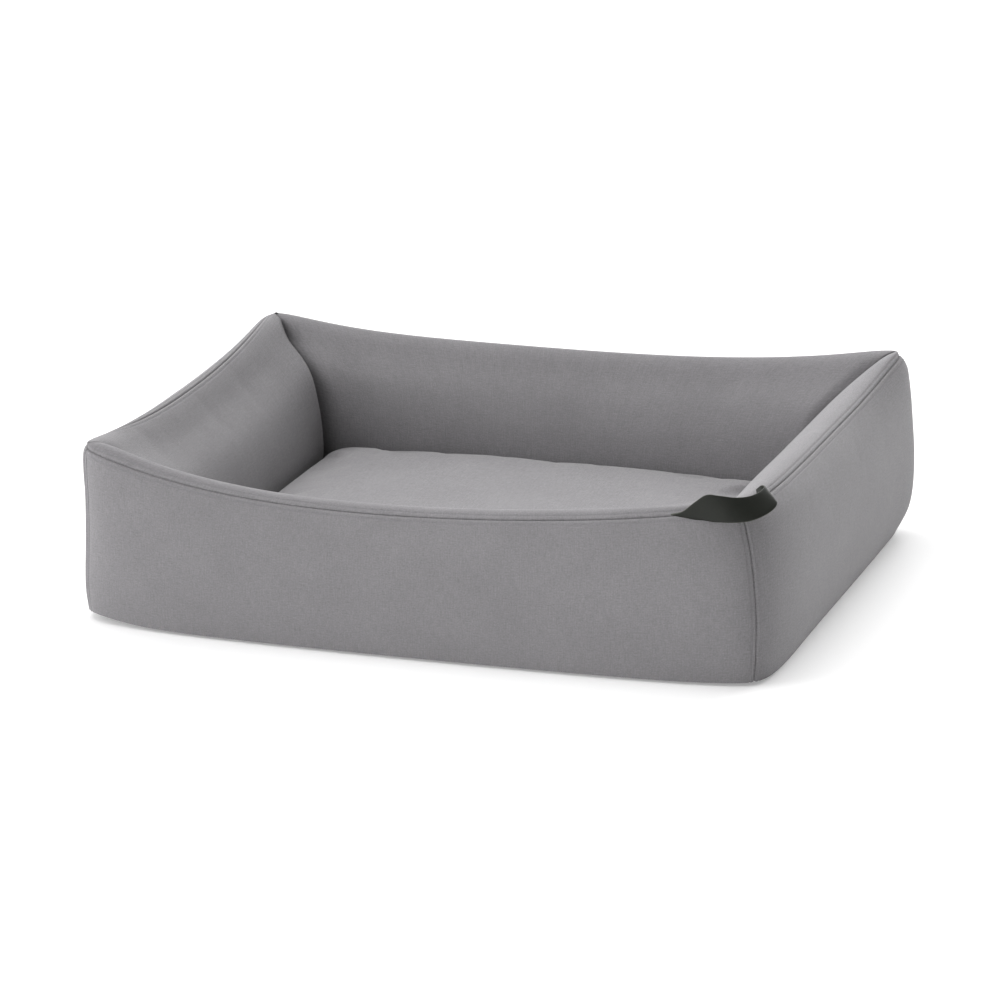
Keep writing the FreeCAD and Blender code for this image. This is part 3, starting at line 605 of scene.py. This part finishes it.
def thinned(places, anchors, gap):
    """Numbers of the places to keep: the anchors, and others at least a gap apart."""
    keep = []
    for first, last in zip(anchors[:-1], anchors[1:]):
        keep.append(first)
        for k in range(first + 1, last):
            if places[k] - places[keep[-1]] >= gap and places[last] - places[k] >= gap / 2:
                keep.append(k)
    return np.array(keep + [anchors[-1]])


def spread_weights(places, keep, period=None):
    """Catmull-Rom weights that carry values at the kept places to all of them."""
    knots = places[keep]
    count = len(knots)
    weights = np.zeros((len(places), count))
    for k, place in enumerate(places):
        left = int(np.searchsorted(knots, place, side="right")) - 1
        right = left + 1
        start = knots[left]
        end = knots[right] if right < count else (knots[0] + period if period else start)
        f = (place - start) / (end - start) if end > start else 0.0
        shares = ((-f + 2 * f**2 - f**3) / 2, (2 - 5 * f**2 + 3 * f**3) / 2,
                  (f + 4 * f**2 - 3 * f**3) / 2, (f**3 - f**2) / 2)
        for step, share in zip((-1, 0, 1, 2), shares):
            at = (left + step) % count if period else min(max(left + step, 0), count - 1)
            weights[k, at] += share
    return weights


CLOTH_FRAMES = 20
PIN_LEVELS = 8


def simulated(points, faces, pins, pressure, growth, cap, bending):
    """How far cloth under a gentle inside pressure moves each point of a closed mesh. The
    cloth is a little larger than the shape, and pins from 0 to 1 hold it in place."""
    mesh = mesh_from("simulated", points, faces)
    cloth = bpy.data.objects.new("simulated", mesh)
    bpy.context.collection.objects.link(cloth)
    group = cloth.vertex_groups.new(name="pins")
    levels = np.round(np.asarray(pins) * PIN_LEVELS).astype(int)
    for level in range(1, PIN_LEVELS + 1):
        group.add(np.flatnonzero(levels == level).tolist(), level / PIN_LEVELS, "REPLACE")
    modifier = cloth.modifiers.new("cloth", "CLOTH")
    for key, value in {
            "quality": 6, "mass": 0.25, "tension_stiffness": 18, "compression_stiffness": 18,
            "shear_stiffness": 6, "bending_stiffness": bending, "vertex_group_mass": group.name,
            "pin_stiffness": 1.0, "shrink_min": -growth, "use_pressure": True,
            "uniform_pressure_force": pressure}.items():
        setattr(modifier.settings, key, value)
    modifier.settings.effector_weights.gravity = 0
    modifier.collision_settings.use_collision = False
    modifier.point_cache.frame_start = 1
    modifier.point_cache.frame_end = CLOTH_FRAMES
    scene = bpy.context.scene
    for frame_number in range(1, CLOTH_FRAMES + 1):
        scene.frame_set(frame_number)
    result = cloth.evaluated_get(bpy.context.evaluated_depsgraph_get())
    moved = np.empty(len(points) * 3)
    result.data.vertices.foreach_get("co", moved)
    bpy.data.objects.remove(cloth)
    bpy.data.meshes.remove(mesh)
    scene.frame_set(1)
    shift = moved.reshape(-1, 3) - points
    far = np.linalg.norm(shift, axis=1, keepdims=True)
    return shift * np.minimum(1, cap / np.maximum(far, 1e-9))


# A seam seen from the side: (distance from it, height). The cloth folds in at the seam and
# dips again under the row of stitches.
SEAM_PROFILE = (SEAM_STEPS,
                (-0.0026, -0.0014, -0.0003, 0.0002, 0.0002, 0.0, -0.0007, 0.0, 0.0002, 0.0))
PLAIN_SEAM = ((0, 0.0008, 0.002, 0.005), (-0.0016, -0.0008, -0.0001, 0.0))


def seam_height(distance, profile=SEAM_PROFILE):
    return np.interp(distance, *profile)


# ---------------- stitches
STITCH_LENGTH = 0.0028
STITCH_PITCH = 0.0037
STITCH_WIDTH = 0.00055
STITCH_LIFT = 0.15  # how far it stands off the cloth, as a share of its width
STITCH_SIDES = 6
# Along a stitch: how far from its middle, as a share of its length, and how thick it is.
STITCH_STATIONS = ((-0.5, 0.25), (-0.44, 0.75), (-0.25, 1.0), (0.25, 1.0), (0.44, 0.75),
                   (0.5, 0.25))


def stitch_row(line, up):
    """Stitches along a line of points that lie on a surface with the normals up."""
    at = run_along(line)
    count = int((at[-1] - 2 * STITCH_PITCH) / STITCH_PITCH)
    starts = STITCH_PITCH + np.arange(count) * STITCH_PITCH
    a, b = (read_at(starts + more, at, line) for more in (0, STITCH_LENGTH))
    outward = unit(read_at(starts + STITCH_LENGTH / 2, at, up))
    forward = unit(b - a)
    aside = unit(np.cross(forward, outward))
    middle = (a + b) / 2 + outward * STITCH_WIDTH * STITCH_LIFT
    angles = np.arange(STITCH_SIDES, 0, -1) * 2 * math.pi / STITCH_SIDES
    points = [middle + forward * place * STITCH_LENGTH
              + (aside * math.cos(angle) + outward * math.sin(angle)) * size * STITCH_WIDTH / 2
              for place, size in STITCH_STATIONS for angle in angles]
    return np.stack(points, axis=1)


def add_stitches(name, body, rows):
    """Rows of thread stitches, gathered into one mesh."""
    stitches = np.vstack(rows).reshape(-1, len(STITCH_STATIONS), STITCH_SIDES, 3)
    put(name, mesh_from(name, *tubes(stitches)), body, "cover_fabric", seam_thread)


# ---------------- the frame's covers
ring, wall_places, SEAM_ROW, INNER_END = bolster_ring()
row_total, column_total = ring.shape[:2]
corner_columns = np.cumsum([0] + [len(wall_places[side]) for side in SIDES])


def lengths_along(points, axis):
    """Distances along a closed grid's rows or columns, averaged over the other direction, and
    the length all the way round."""
    gaps = np.linalg.norm(np.diff(points, axis=axis), axis=2).mean(axis=1 - axis)
    total = np.concatenate([[0], np.cumsum(gaps)])
    last = points.take(-1, axis) - points.take(0, axis)
    return total, total[-1] + np.linalg.norm(last, axis=1).mean()


column_places, ring_length = lengths_along(ring[:SEAM_ROW + 1], 1)
row_places, row_length = lengths_along(ring, 0)
from_seam = np.abs(row_places - row_places[SEAM_ROW])
from_corner = np.min([np.abs(column_places - column_places[k % column_total])
                      for k in corner_columns[:-1]]
                     + [ring_length - column_places], axis=0)
outer_rows = np.arange(row_total) <= SEAM_ROW
inner_rows = (np.arange(row_total) > SEAM_ROW) & (np.arange(row_total) <= INNER_END)

SIM_GAP = 0.0095
BOLSTER_CAP = 0.006
FOLD_SIZE = 4  # folds wider than about this many cells are not kept
KEPT_FULLNESS = 0.8  # how much of them the drawn shape already has
FOLD_STRENGTH = 0.22


def blurred(field, cells):
    """A closed grid of vectors, softened over a number of cells each way."""
    for axis in (0, 1):
        wave = np.fft.fftfreq(field.shape[axis])
        keep = np.exp(-2 * (math.pi * cells * wave) ** 2)
        keep = keep.reshape((-1, 1, 1) if axis == 0 else (1, -1, 1))
        field = np.fft.ifft(np.fft.fft(field, axis=axis) * keep, axis=axis).real
    return field


# ---------------- the slots for the zips
SLOT_MARGIN = 0.0006
SLOT_LIP = ((0.0009, 0.0004), (0.0008, 0.0010), (0.0, 0.0030))  # (across, in) round the edge
SLOT_NEAR = 0.02  # how far past a zip's ends the columns by it are looked for
STITCH_ASIDE, STITCH_PAST = 0.0024, 0.003  # beside a slot, and past its ends
BACK_Y = 0.2  # the faces with a zip lie beyond this
TINY = 1e-5


def zip_slot(zip_name):
    """Half the length of a zip's slot, and the heights of its lower and upper edge."""
    low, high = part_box(zip_name + "_tape_lower")[0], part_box(zip_name + "_tape_upper")[1]
    return high[0] + SLOT_MARGIN, low[2] - SLOT_MARGIN, high[2] + SLOT_MARGIN


def by_zip(points, zip_name, beyond):
    """Which points of a face lie along a zip, or beyond its ends by no more than a length."""
    half = zip_slot(zip_name)[0] + beyond
    return (np.abs(points[..., 0]) < half) & (points[..., 1] > BACK_Y)


def slotted(points, zip_name, closed=False):
    """Cuts a zip's slot through a grid of points over an upright face that looks towards +Y,
    and turns its edge in. Returns points, faces, and the grid point each point comes from."""
    half, low, high = zip_slot(zip_name)
    points = points.copy()
    at_back = np.flatnonzero(by_zip(points[0], zip_name, SLOT_NEAR))
    middle = at_back[np.argmin(np.abs(points[0, at_back, 0]))]
    rows = [int(np.argmin(np.abs(points[:, middle, 2] - z))) for z in (low, high)]
    ends = [int(at_back[np.argmin(np.abs(points[rows[0], at_back, 0] - x))])
            for x in (half, -half)]
    for row, z in zip(rows, (low, high)):
        for column in range(ends[0] - 1, ends[1] + 2):
            near = points[row - 1:row + 2, column].copy()
            points[row, column] = read_at(z, near[:, 2], near)
    for column, x in zip(ends, (half, -half)):
        for row in range(rows[0], rows[1] + 1):
            near = points[row, column - 1:column + 2][::-1].copy()
            points[row, column] = read_at(x, near[:, 0], near)
    index = grid_index(points.shape)
    kept = np.ones(index.shape, bool)
    kept[rows[0]:rows[1], ends[0]:ends[1]] = False
    kept = kept[:-1] if closed else kept[:-1, :-1]
    edge = border_of(index[rows[0]:rows[1] + 1, ends[0]:ends[1] + 1])
    flat = points.reshape(-1, 3)
    rim = flat[edge]
    level = np.minimum(np.abs(rim[:, 2] - low), np.abs(rim[:, 2] - high)) < TINY
    across = np.stack([-np.sign(rim[:, 0]) * (np.abs(rim[:, 0]) > half - TINY), 0 * level,
                       np.sign((low + high) / 2 - rim[:, 2]) * level], axis=1)
    lips = [rim + across * over - np.array((0, inward, 0)) for over, inward in SLOT_LIP]
    lip_index = grid_index((len(lips), len(edge)), len(flat))
    faces = np.vstack([quads_of(index, closed)[kept.ravel()],
                       quads_of(np.vstack([edge[None], lip_index]), closed=True)])
    source = np.concatenate([np.arange(len(flat)), np.tile(edge, len(lips))])
    return np.vstack([flat] + lips), faces, source


def rows_along_zip(points, zip_name):
    """A row of stitches below a zip's slot and one above it, on the grid it is cut through."""
    _, low, high = zip_slot(zip_name)
    normals = normals_of(points)
    columns = np.flatnonzero(by_zip(points[0], zip_name, STITCH_PAST))
    return [stitch_row(*(np.array([read_at(z, points[:, column, 2], field[:, column])
                                   for column in columns]) for field in (points, normals)))
            for z in (low - STITCH_ASIDE, high + STITCH_ASIDE)]


ZIP_HALF, ZIP_TOP, ZIP_BACK = 0.31, 0.055, 0.33  # the cloth by the frame's zip stays put
ZIP_ROWS = 15  # rows of the ring from the floor to well above the zip
# How firmly the simulated cloth is held at the rim seam and at the outer corners, and how far
# round a seam and a corner that reaches.
RIM_HOLD, CORNER_HOLD = 0.45, 0.5
RIM_HOLD_REACH, CORNER_HOLD_REACH = 0.004, 0.006
FLOOR_HOLD = 0.012  # and how far up from the floor


def swollen_ring():
    """The ring as its cover lies over the stuffing."""
    rows = thinned(row_places, [0, SEAM_ROW, INNER_END, row_total - 1], SIM_GAP)
    columns = thinned(np.append(column_places, ring_length), list(corner_columns),
                      SIM_GAP)[:-1]
    coarse = ring[np.ix_(rows, columns)]
    near_seam = np.exp(-(from_seam[rows] / RIM_HOLD_REACH) ** 2)[:, None]
    near_corner = np.exp(-(from_corner[columns] / CORNER_HOLD_REACH) ** 2)[None, :]
    inside = (rows > SEAM_ROW)[:, None]
    pins = np.maximum(RIM_HOLD * near_seam, np.where(inside, 1.0, CORNER_HOLD) * near_corner)
    low = np.clip(1.6 - coarse[..., 2] / FLOOR_HOLD, 0, 1)
    at_zip = ((np.abs(coarse[..., 0]) < ZIP_HALF) & (coarse[..., 2] < ZIP_TOP)
              & (coarse[..., 1] > ZIP_BACK))
    pins = np.maximum(np.maximum(pins, low), at_zip)
    index = grid_index(coarse.shape)
    closed = np.vstack([index, index[:1]])
    shift = simulated(coarse.reshape(-1, 3), quads_of(closed, closed=True), pins.ravel(),
                      pressure=1.4, growth=0.0015, cap=BOLSTER_CAP, bending=2.0)
    shift = shift.reshape(coarse.shape)
    shift = FOLD_STRENGTH * (shift - KEPT_FULLNESS * blurred(shift, FOLD_SIZE))
    up = spread_weights(row_places, rows, row_length)
    along = spread_weights(column_places, columns, ring_length)
    return ring + np.einsum("ri,cj,ijk->rck", up, along, shift)


RIM_SEAM_SHARE = 0.8  # the rim's seam is pulled in less than the corners' seams


def seamed_ring(points):
    """The ring with its seams sewn in."""
    up = normals_of(points, True, True)
    rim = RIM_SEAM_SHARE * seam_height(from_seam)[:, None]
    upright = (outer_rows[:, None] * seam_height(from_corner)[None, :]
               + inner_rows[:, None] * seam_height(from_corner, PLAIN_SEAM)[None, :])
    height = np.where(np.abs(upright) > np.abs(rim), upright, rim)
    return points + up * height[..., None]


ring = swollen_ring()
ring = seamed_ring(ring)
ring_normals = normals_of(ring, True, True)
cloth_places = np.stack(np.broadcast_arrays(column_places[None, :], row_places[:, None],
                                            np.zeros((1, 1))), axis=-1)


def add_panel(side, which, order):
    """One panel of a bolster's cover: its outside up to the seam, or its inside."""
    first, last = corner_columns[order], corner_columns[order + 1]
    columns = np.arange(first, last + 1) % column_total
    inside = which == "inner"
    rows = np.append(np.arange(SEAM_ROW, row_total), 0) if inside else np.arange(SEAM_ROW + 1)
    points = ring[np.ix_(rows, columns)]
    flat = cloth_places[np.ix_(rows, columns)].copy()
    flat[:, -1, 0] = column_places[last] if last < column_total else ring_length
    flat[..., 2] = 0.1 * order + 0.05 * inside
    name = f"cover_{side}_{which}"
    flat = flat.reshape(-1, 3)
    faces = quads_of(grid_index(points.shape))
    if name == "cover_back_outer":
        points, faces, source = slotted(points, "frame_zip")
        flat = flat[source]
    put("padded_" + name, mesh_from(name, points, faces, flat), "bed_frame", "cover_fabric",
        cover_cloth, node=name, fill=0.85)


for order, side in enumerate(SIDES):
    for which in ("outer", "inner"):
        add_panel(side, which, order)


def add_topstitching():
    """Two rows of stitches along the rim seam and two up each corner seam."""
    closed = np.append(np.arange(column_total), 0)
    lines = [(row, closed) for row in (SEAM_ROW - STITCH_STEP, SEAM_ROW + STITCH_STEP)]
    lines += [(np.arange(2, SEAM_ROW - 1), (corner + aside) % column_total)
              for corner in corner_columns[:-1] for aside in (-STITCH_STEP, STITCH_STEP)]
    rows = [stitch_row(ring[line], ring_normals[line]) for line in lines]
    add_stitches("frame_topstitching", "bed_frame",
                 rows + rows_along_zip(ring[:ZIP_ROWS], "frame_zip"))


add_topstitching()

# ---------------- the foam inside
FOAM_INSET = 0.010
FOAM_END = 14  # columns left out at each mitre


def add_foam(side, order):
    """One foam bar, a little inside its cover, closed at both ends."""
    first, last = corner_columns[order], corner_columns[order + 1]
    columns = np.arange(first + FOAM_END, last - FOAM_END, 2) % column_total
    rows = np.arange(0, row_total, 2)
    points = (ring - ring_normals * FOAM_INSET)[np.ix_(rows, columns)]
    index = grid_index(points.shape)
    index = np.vstack([index, index[:1]])
    hubs = np.stack([points[:, 0].mean(axis=0), points[:, -1].mean(axis=0)])
    count = points[..., 0].size
    faces = quads_of(index).tolist()
    faces += [[a, b, count] for a, b in zip(index[1:, 0].tolist(), index[:-1, 0].tolist())]
    faces += [[a, b, count + 1] for a, b in zip(index[:-1, -1].tolist(), index[1:, -1].tolist())]
    name = "foam_" + side
    mesh = mesh_from(name, np.vstack([points.reshape(-1, 3), hubs]), faces)
    put("soft_" + name, mesh, "bed_frame", "foam", pale_foam, node=name, fill=1.0)


for order, side in enumerate(SIDES):
    add_foam(side, order)

# ---------------- the cushion
cushion_low, cushion_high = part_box("cushion_side_band")
CUSHION_CENTRE = [(cushion_low[k] + cushion_high[k]) / 2 for k in (0, 1)]
CUSHION_HALF = [(cushion_high[k] - cushion_low[k]) / 2 for k in (0, 1)]
CUSHION_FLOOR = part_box("cushion_bottom_panel")[0][2]
CUSHION_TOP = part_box("cushion_top_panel")[1][2]
CUSHION_ROUND = 0.040
CUSHION_SEAM_DROP = 0.012  # the top seam, below the flat of the top
CUSHION_CROWN = 0.002  # how far the middle stands above that flat
CUSHION_BOW = 0.0055  # how far it bows up between its left and right ends
CORNER_SINK = 0.005  # how far its corners lie below that
BOW_POWER, SINK_POWER, BAND_BOW_POWER = 2.5, 5, 4
CUSHION_EDGE, EDGE_POWER = 0.018, 2.4  # how far in from the seam the top comes up
UNDER_EDGE, UNDER_RISE = 0.02, 0.006  # the same for the bottom, and how much it comes up
CUSHION_BULGE = 0.003
CUSHION_CAP = 0.006
SEAM_HOLD = 0.35  # how firmly the simulated cover is held at the top seam
ZIP_FLAT = 0.015  # how far past the zip's ends the band stays flat


def axis_places(half):
    steps = steps_from_seam(half)
    return np.concatenate([-half + steps, (half - steps[:-1])[::-1]])


def cushion_surfaces():
    xs, ys = axis_places(CUSHION_HALF[0]), axis_places(CUSHION_HALF[1])
    x, y = np.meshgrid(xs, ys)
    x, y, inset = rounded_rectangle(x, y, *CUSHION_HALF, CUSHION_ROUND)
    x, y = x + CUSHION_CENTRE[0], y + CUSHION_CENTRE[1]
    rise = 1 - np.clip(1 - inset / CUSHION_EDGE, 0, 1) ** EDGE_POWER
    crown = 1 - np.clip(1 - inset / CUSHION_HALF[1], 0, 1) ** 2
    seam_z = CUSHION_TOP - CUSHION_SEAM_DROP
    across = np.abs(x - CUSHION_CENTRE[0]) / CUSHION_HALF[0]
    along = np.abs(y - CUSHION_CENTRE[1]) / CUSHION_HALF[1]
    bow = (CUSHION_BOW * (1 - across ** BOW_POWER)
           - CORNER_SINK * (across * along) ** SINK_POWER)
    top = np.stack([x, y, seam_z + CUSHION_SEAM_DROP * rise + CUSHION_CROWN * crown], axis=-1)
    bottom_rise = UNDER_RISE * np.clip(1 - inset / UNDER_EDGE, 0, 1) ** 2
    bottom = np.stack([x, y, CUSHION_FLOOR + bottom_rise], axis=-1)
    border = border_of(grid_index(x.shape))
    low_line, high_line = bottom.reshape(-1, 3)[border], top.reshape(-1, 3)[border]
    steps = steps_from_seam((seam_z - bottom[0, 0, 2]) / 2)
    tall = steps[-1] * 2
    shares = np.concatenate([steps, (tall - steps[:-1])[::-1]]) / tall
    out = unit(np.cross(np.roll(low_line, -1, 0) - np.roll(low_line, 1, 0), (0, 0, 1)))
    band = low_line + (high_line - low_line) * shares[:, None, None]
    band[..., 2] += bow.ravel()[border] * shares[:, None] ** BAND_BOW_POWER
    top[..., 2] += bow
    bulge = CUSHION_BULGE * ~by_zip(low_line, "cushion_zip", ZIP_FLAT)
    band = band + out * (4 * shares[:, None] * (1 - shares[:, None]) * bulge)[..., None]
    return xs, ys, inset, top, bottom, band, shares * tall


def swollen_cushion(xs, ys, top, bottom, band, band_places):
    """The three surfaces of the cushion as its cover lies over the stuffing."""
    nx, ny, nb = len(xs), len(ys), len(band_places)
    keep_x = thinned(xs, [0, nx // 2, nx - 1], SIM_GAP)
    keep_y = thinned(ys, [0, ny // 2, ny - 1], SIM_GAP)
    keep_b = thinned(band_places, [0, nb - 1], SIM_GAP)
    grid = grid_index((len(keep_y), len(keep_x)))
    under = grid_index(grid.shape, grid.size)
    fine_border = border_of(grid_index((ny, nx)))
    kept = np.isin(fine_border, grid_index((ny, nx))[np.ix_(keep_y, keep_x)])
    columns = np.flatnonzero(kept)
    middle = grid_index((len(keep_b) - 2, len(columns)), 2 * grid.size)
    sides = np.vstack([border_of(under), middle, border_of(grid)])
    points = np.vstack([
        top[np.ix_(keep_y, keep_x)].reshape(-1, 3), bottom[np.ix_(keep_y, keep_x)].reshape(-1, 3),
        band[np.ix_(keep_b[1:-1], columns)].reshape(-1, 3)])
    faces = np.vstack([quads_of(grid), quads_of(under)[:, ::-1], quads_of(sides, closed=True)])
    pins = np.zeros(len(points))
    pins[under.ravel()] = 1.0
    pins[border_of(grid)] = SEAM_HOLD
    pins[middle[:, by_zip(band[0, columns], "cushion_zip", ZIP_FLAT)]] = 1.0
    shift = simulated(points, faces, pins, pressure=1.2, growth=0.002, cap=CUSHION_CAP,
                      bending=0.5)
    over_y, over_x = spread_weights(ys, keep_y), spread_weights(xs, keep_x)
    top = top + np.einsum("ri,cj,ijk->rck", over_y, over_x, shift[grid])
    places = np.arange(len(fine_border), dtype=float)
    round_it = spread_weights(places, columns, float(len(places)))
    band = band + np.einsum("ri,cj,ijk->rck", spread_weights(band_places, keep_b), round_it,
                            shift[sides])
    return top, bottom, band


def add_cushion():
    xs, ys, inset, top, bottom, band, band_places = cushion_surfaces()
    top, bottom, band = swollen_cushion(xs, ys, top, bottom, band, band_places)
    border = border_of(grid_index(inset.shape))
    top = top + normals_of(top) * seam_height(inset, PLAIN_SEAM)[..., None]
    bottom = bottom - normals_of(bottom) * seam_height(inset, PLAIN_SEAM)[..., None]
    to_seam = np.minimum(band_places, band_places[-1] - band_places)
    band = band + (normals_of(band, False, True)
                   * seam_height(to_seam, PLAIN_SEAM)[:, None, None])
    band[0], band[-1] = bottom.reshape(-1, 3)[border], top.reshape(-1, 3)[border]
    band_flat = np.stack(np.broadcast_arrays(run_along(band[-1])[None, :],
                                             band_places[:, None], np.full((1, 1), 0.7)), axis=-1)
    band_points, band_faces, source = slotted(band, "cushion_zip", closed=True)
    add_stitches("cushion_topstitching", "cushion", rows_along_zip(band, "cushion_zip"))
    quads = quads_of(grid_index(inset.shape))
    meshes = {
        "cushion_top_panel": mesh_from("top", top, quads, top + (0, 0, 0.5)),
        "cushion_bottom_panel": mesh_from("bottom", bottom, quads[:, ::-1],
                                          bottom + (0, 0, 0.6)),
        "cushion_side_band": mesh_from("band", band_points, band_faces,
                                       band_flat.reshape(-1, 3)[source]),
    }
    for name, mesh in meshes.items():
        put("padded_" + name, mesh, "cushion", "cover_fabric", cover_cloth, node=name, fill=0.8)
    return top, bottom


cushion_top, cushion_bottom = add_cushion()


def add_stuffing(name, first, last, material, slot):
    """A slab inside the cushion, between two heights given as shares from bottom to top."""
    inner = np.s_[STUFFING_INSET:-STUFFING_INSET:2, STUFFING_INSET:-STUFFING_INSET:2]
    low, high = cushion_bottom[inner], cushion_top[inner]
    mesh = slab(name, low + (high - low) * first, low + (high - low) * last)
    put("soft_" + name, mesh, "cushion", slot, material, node=name, fill=0.8)


STUFFING_INSET = 10  # grid lines left out round the edge, about 14 mm
add_stuffing("cushion_foam_core", 0.06, 0.70, pale_foam, "foam")
add_stuffing("cushion_topper", 0.72, 0.92, white_fibre, "fibre_fill")

# ---------------- the leather loop
# Where the strip runs, as its upper and lower edge, from one rim seam round to the other.
LOOP_STATIONS = (
    ((0.306, -0.331, 0.197), (0.336, -0.332, 0.194)),
    ((0.321, -0.334, 0.203), (0.348, -0.336, 0.195)),
    ((0.336, -0.337, 0.216), (0.360, -0.340, 0.195)),
    ((0.350, -0.338, 0.226), (0.371, -0.342, 0.196)),
    ((0.366, -0.337, 0.226), (0.385, -0.342, 0.197)),
    ((0.382, -0.332, 0.224), (0.401, -0.338, 0.199)),
    ((0.396, -0.322, 0.224), (0.415, -0.329, 0.204)),
    ((0.405, -0.310, 0.227), (0.424, -0.318, 0.210)),
    ((0.407, -0.298, 0.230), (0.425, -0.309, 0.215)),
    ((0.401, -0.289, 0.228), (0.416, -0.304, 0.217)),
    ((0.394, -0.284, 0.221), (0.402, -0.304, 0.214)),
)
LOOP_THICK = 0.0022
LOOP_EDGE_POINTS = 5
LOOP_FACE_POINTS = 9
LOOP_SPAN = 8  # rings from one station to the next


def add_loop():
    stations = np.array(LOOP_STATIONS).transpose(1, 0, 2)
    upper, lower = smooth_through(stations, LOOP_SPAN)[0]
    centre = (upper + lower) / 2
    face = unit(np.cross(np.gradient(centre, axis=0), upper - lower))
    width = np.linalg.norm(upper - lower, axis=1)[:, None]
    across = (upper - lower) / width
    half = LOOP_THICK / 2
    span = width / 2 - half
    # Half of the section, a flat face and a rounded edge: shares of the span, and of half the
    # thickness, across the strip and square to it. The other half is its mirror image.
    section = [(step, 0, 1) for step in np.linspace(-1, 1, LOOP_FACE_POINTS)]
    section += [(1, math.sin(angle), math.cos(angle))
                for angle in np.linspace(0, math.pi, LOOP_EDGE_POINTS + 2)[1:-1]]
    points = np.stack([centre + sign * (across * (span * a + half * b) + face * half * c)
                       for sign in (1, -1) for a, b, c in section], axis=1)
    mesh = mesh_from("leather_loop", *tubes(points[None]))
    put("leather_strip", mesh, "bed_frame", "leather", loop_leather, cut_edge,
        node="leather_loop")
    for number in range((len(points) - 1) * points.shape[1]):
        if LOOP_FACE_POINTS <= number % len(section) < len(section) - 1:
            mesh.polygons[number].material_index = 1


add_loop()


# ---------------- cloth under the cushion
CLOTH_CELLS = 72
WAVE_SCALE, WAVE_HEIGHT = 9.0, 0.0004
WAVE_OFFSET = Vector((21.93, 9.51, 17.13))  # where the noise for the waves is read


def add_flat_cloth(name, node, half_x, half_y, centre_y, z, thick, corner, material, slot):
    """A laid sheet of cloth with rounded corners and the slight waves of cloth lying loose."""
    x, y = np.meshgrid(*(np.linspace(-half, half, CLOTH_CELLS) for half in (half_x, half_y)))
    x, y, _ = rounded_rectangle(x, y, half_x, half_y, corner)
    waves = np.array([noise.noise(Vector((a, b, 0)) * WAVE_SCALE + WAVE_OFFSET)
                      for a, b in zip(x.ravel(), y.ravel())]).reshape(x.shape)
    rise = thick + WAVE_HEIGHT * np.clip(0.5 + 0.8 * waves, 0, 1)
    low = np.stack([x, y + centre_y, z + 0 * x], axis=-1)
    mesh = slab(name, low, low + np.stack([0 * x, 0 * x, rise], axis=-1), cloth=True)
    piece = put(name, mesh, "bed_frame", slot, material, node=node)


BASE_INSET, BASE_ROUND, BASE_THICK = 0.040, 0.090, 0.0018
LINING_ROUND, LINING_THICK = 0.020, 0.0011
add_flat_cloth("base_cloth_sheet", "base_fabric", HALF_WIDTH - BASE_INSET,
               HALF_DEPTH - BASE_INSET, 0.0, 0.0, BASE_THICK, BASE_ROUND, base_cloth,
               "base_fabric")
add_flat_cloth("well_lining_sheet", "well_lining", (lining_high[0] - lining_low[0]) / 2,
               (lining_high[1] - lining_low[1]) / 2, (lining_high[1] + lining_low[1]) / 2,
               lining_low[2], LINING_THICK, LINING_ROUND, lining_cloth, "lining_fabric")

# ---------------- the zips
TOOTH_PITCH = 0.0014
TOOTH_WIDTH = 0.0010
TOOTH_REACH = 0.0002  # how far the teeth pass the coil's own inner edge
TOOTH_TIP, TOOTH_TIP_SIZE = 0.0003, 0.6
TOOTH_SIDES = 8


def add_teeth(zip_name, body, half, sign):
    """One half of a zip's chain: a row of rounded teeth, set half a pitch from the other's."""
    name = f"{zip_name}_coil_{half}"
    low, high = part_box(name)
    near, far = (low[2], high[2]) if sign > 0 else (high[2], low[2])
    near -= sign * TOOTH_REACH
    count = int((high[0] - low[0]) / TOOTH_PITCH) - 1
    starts = low[0] + TOOTH_PITCH * (0.75 + 0.25 * sign + np.arange(count))
    angles = np.arange(TOOTH_SIDES) * 2 * math.pi / TOOTH_SIDES
    middle_y, half_y = (low[1] + high[1]) / 2, (high[1] - low[1]) / 2
    tooth = np.array([[(math.cos(angle) * TOOTH_WIDTH / 2 * size,
                        middle_y + math.sin(angle) * half_y * size, z) for angle in angles]
                      for z, size in ((near, TOOTH_TIP_SIZE), (near + sign * TOOTH_TIP, 1.0),
                                      (far, 1.0))])
    teeth = tooth + np.stack([starts, 0 * starts, 0 * starts], 1)[:, None, None]
    put("chain_" + name, mesh_from(name, *tubes(teeth)), body, "zip_coil", zip_nylon, node=name)


for zip_name, body in (("frame_zip", "bed_frame"), ("cushion_zip", "cushion")):
    add_teeth(zip_name, body, "upper", 1)
    add_teeth(zip_name, body, "lower", -1)

# ---------------- CAD nodes that stay
for name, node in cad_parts.items():
    if name.endswith(("slider", "pull", "stops")):
        looks = zip_metal
    elif "tape" in name:
        looks = tape_cloth
    else:
        continue
    node.data.materials.clear()
    node.data.materials.append(looks)
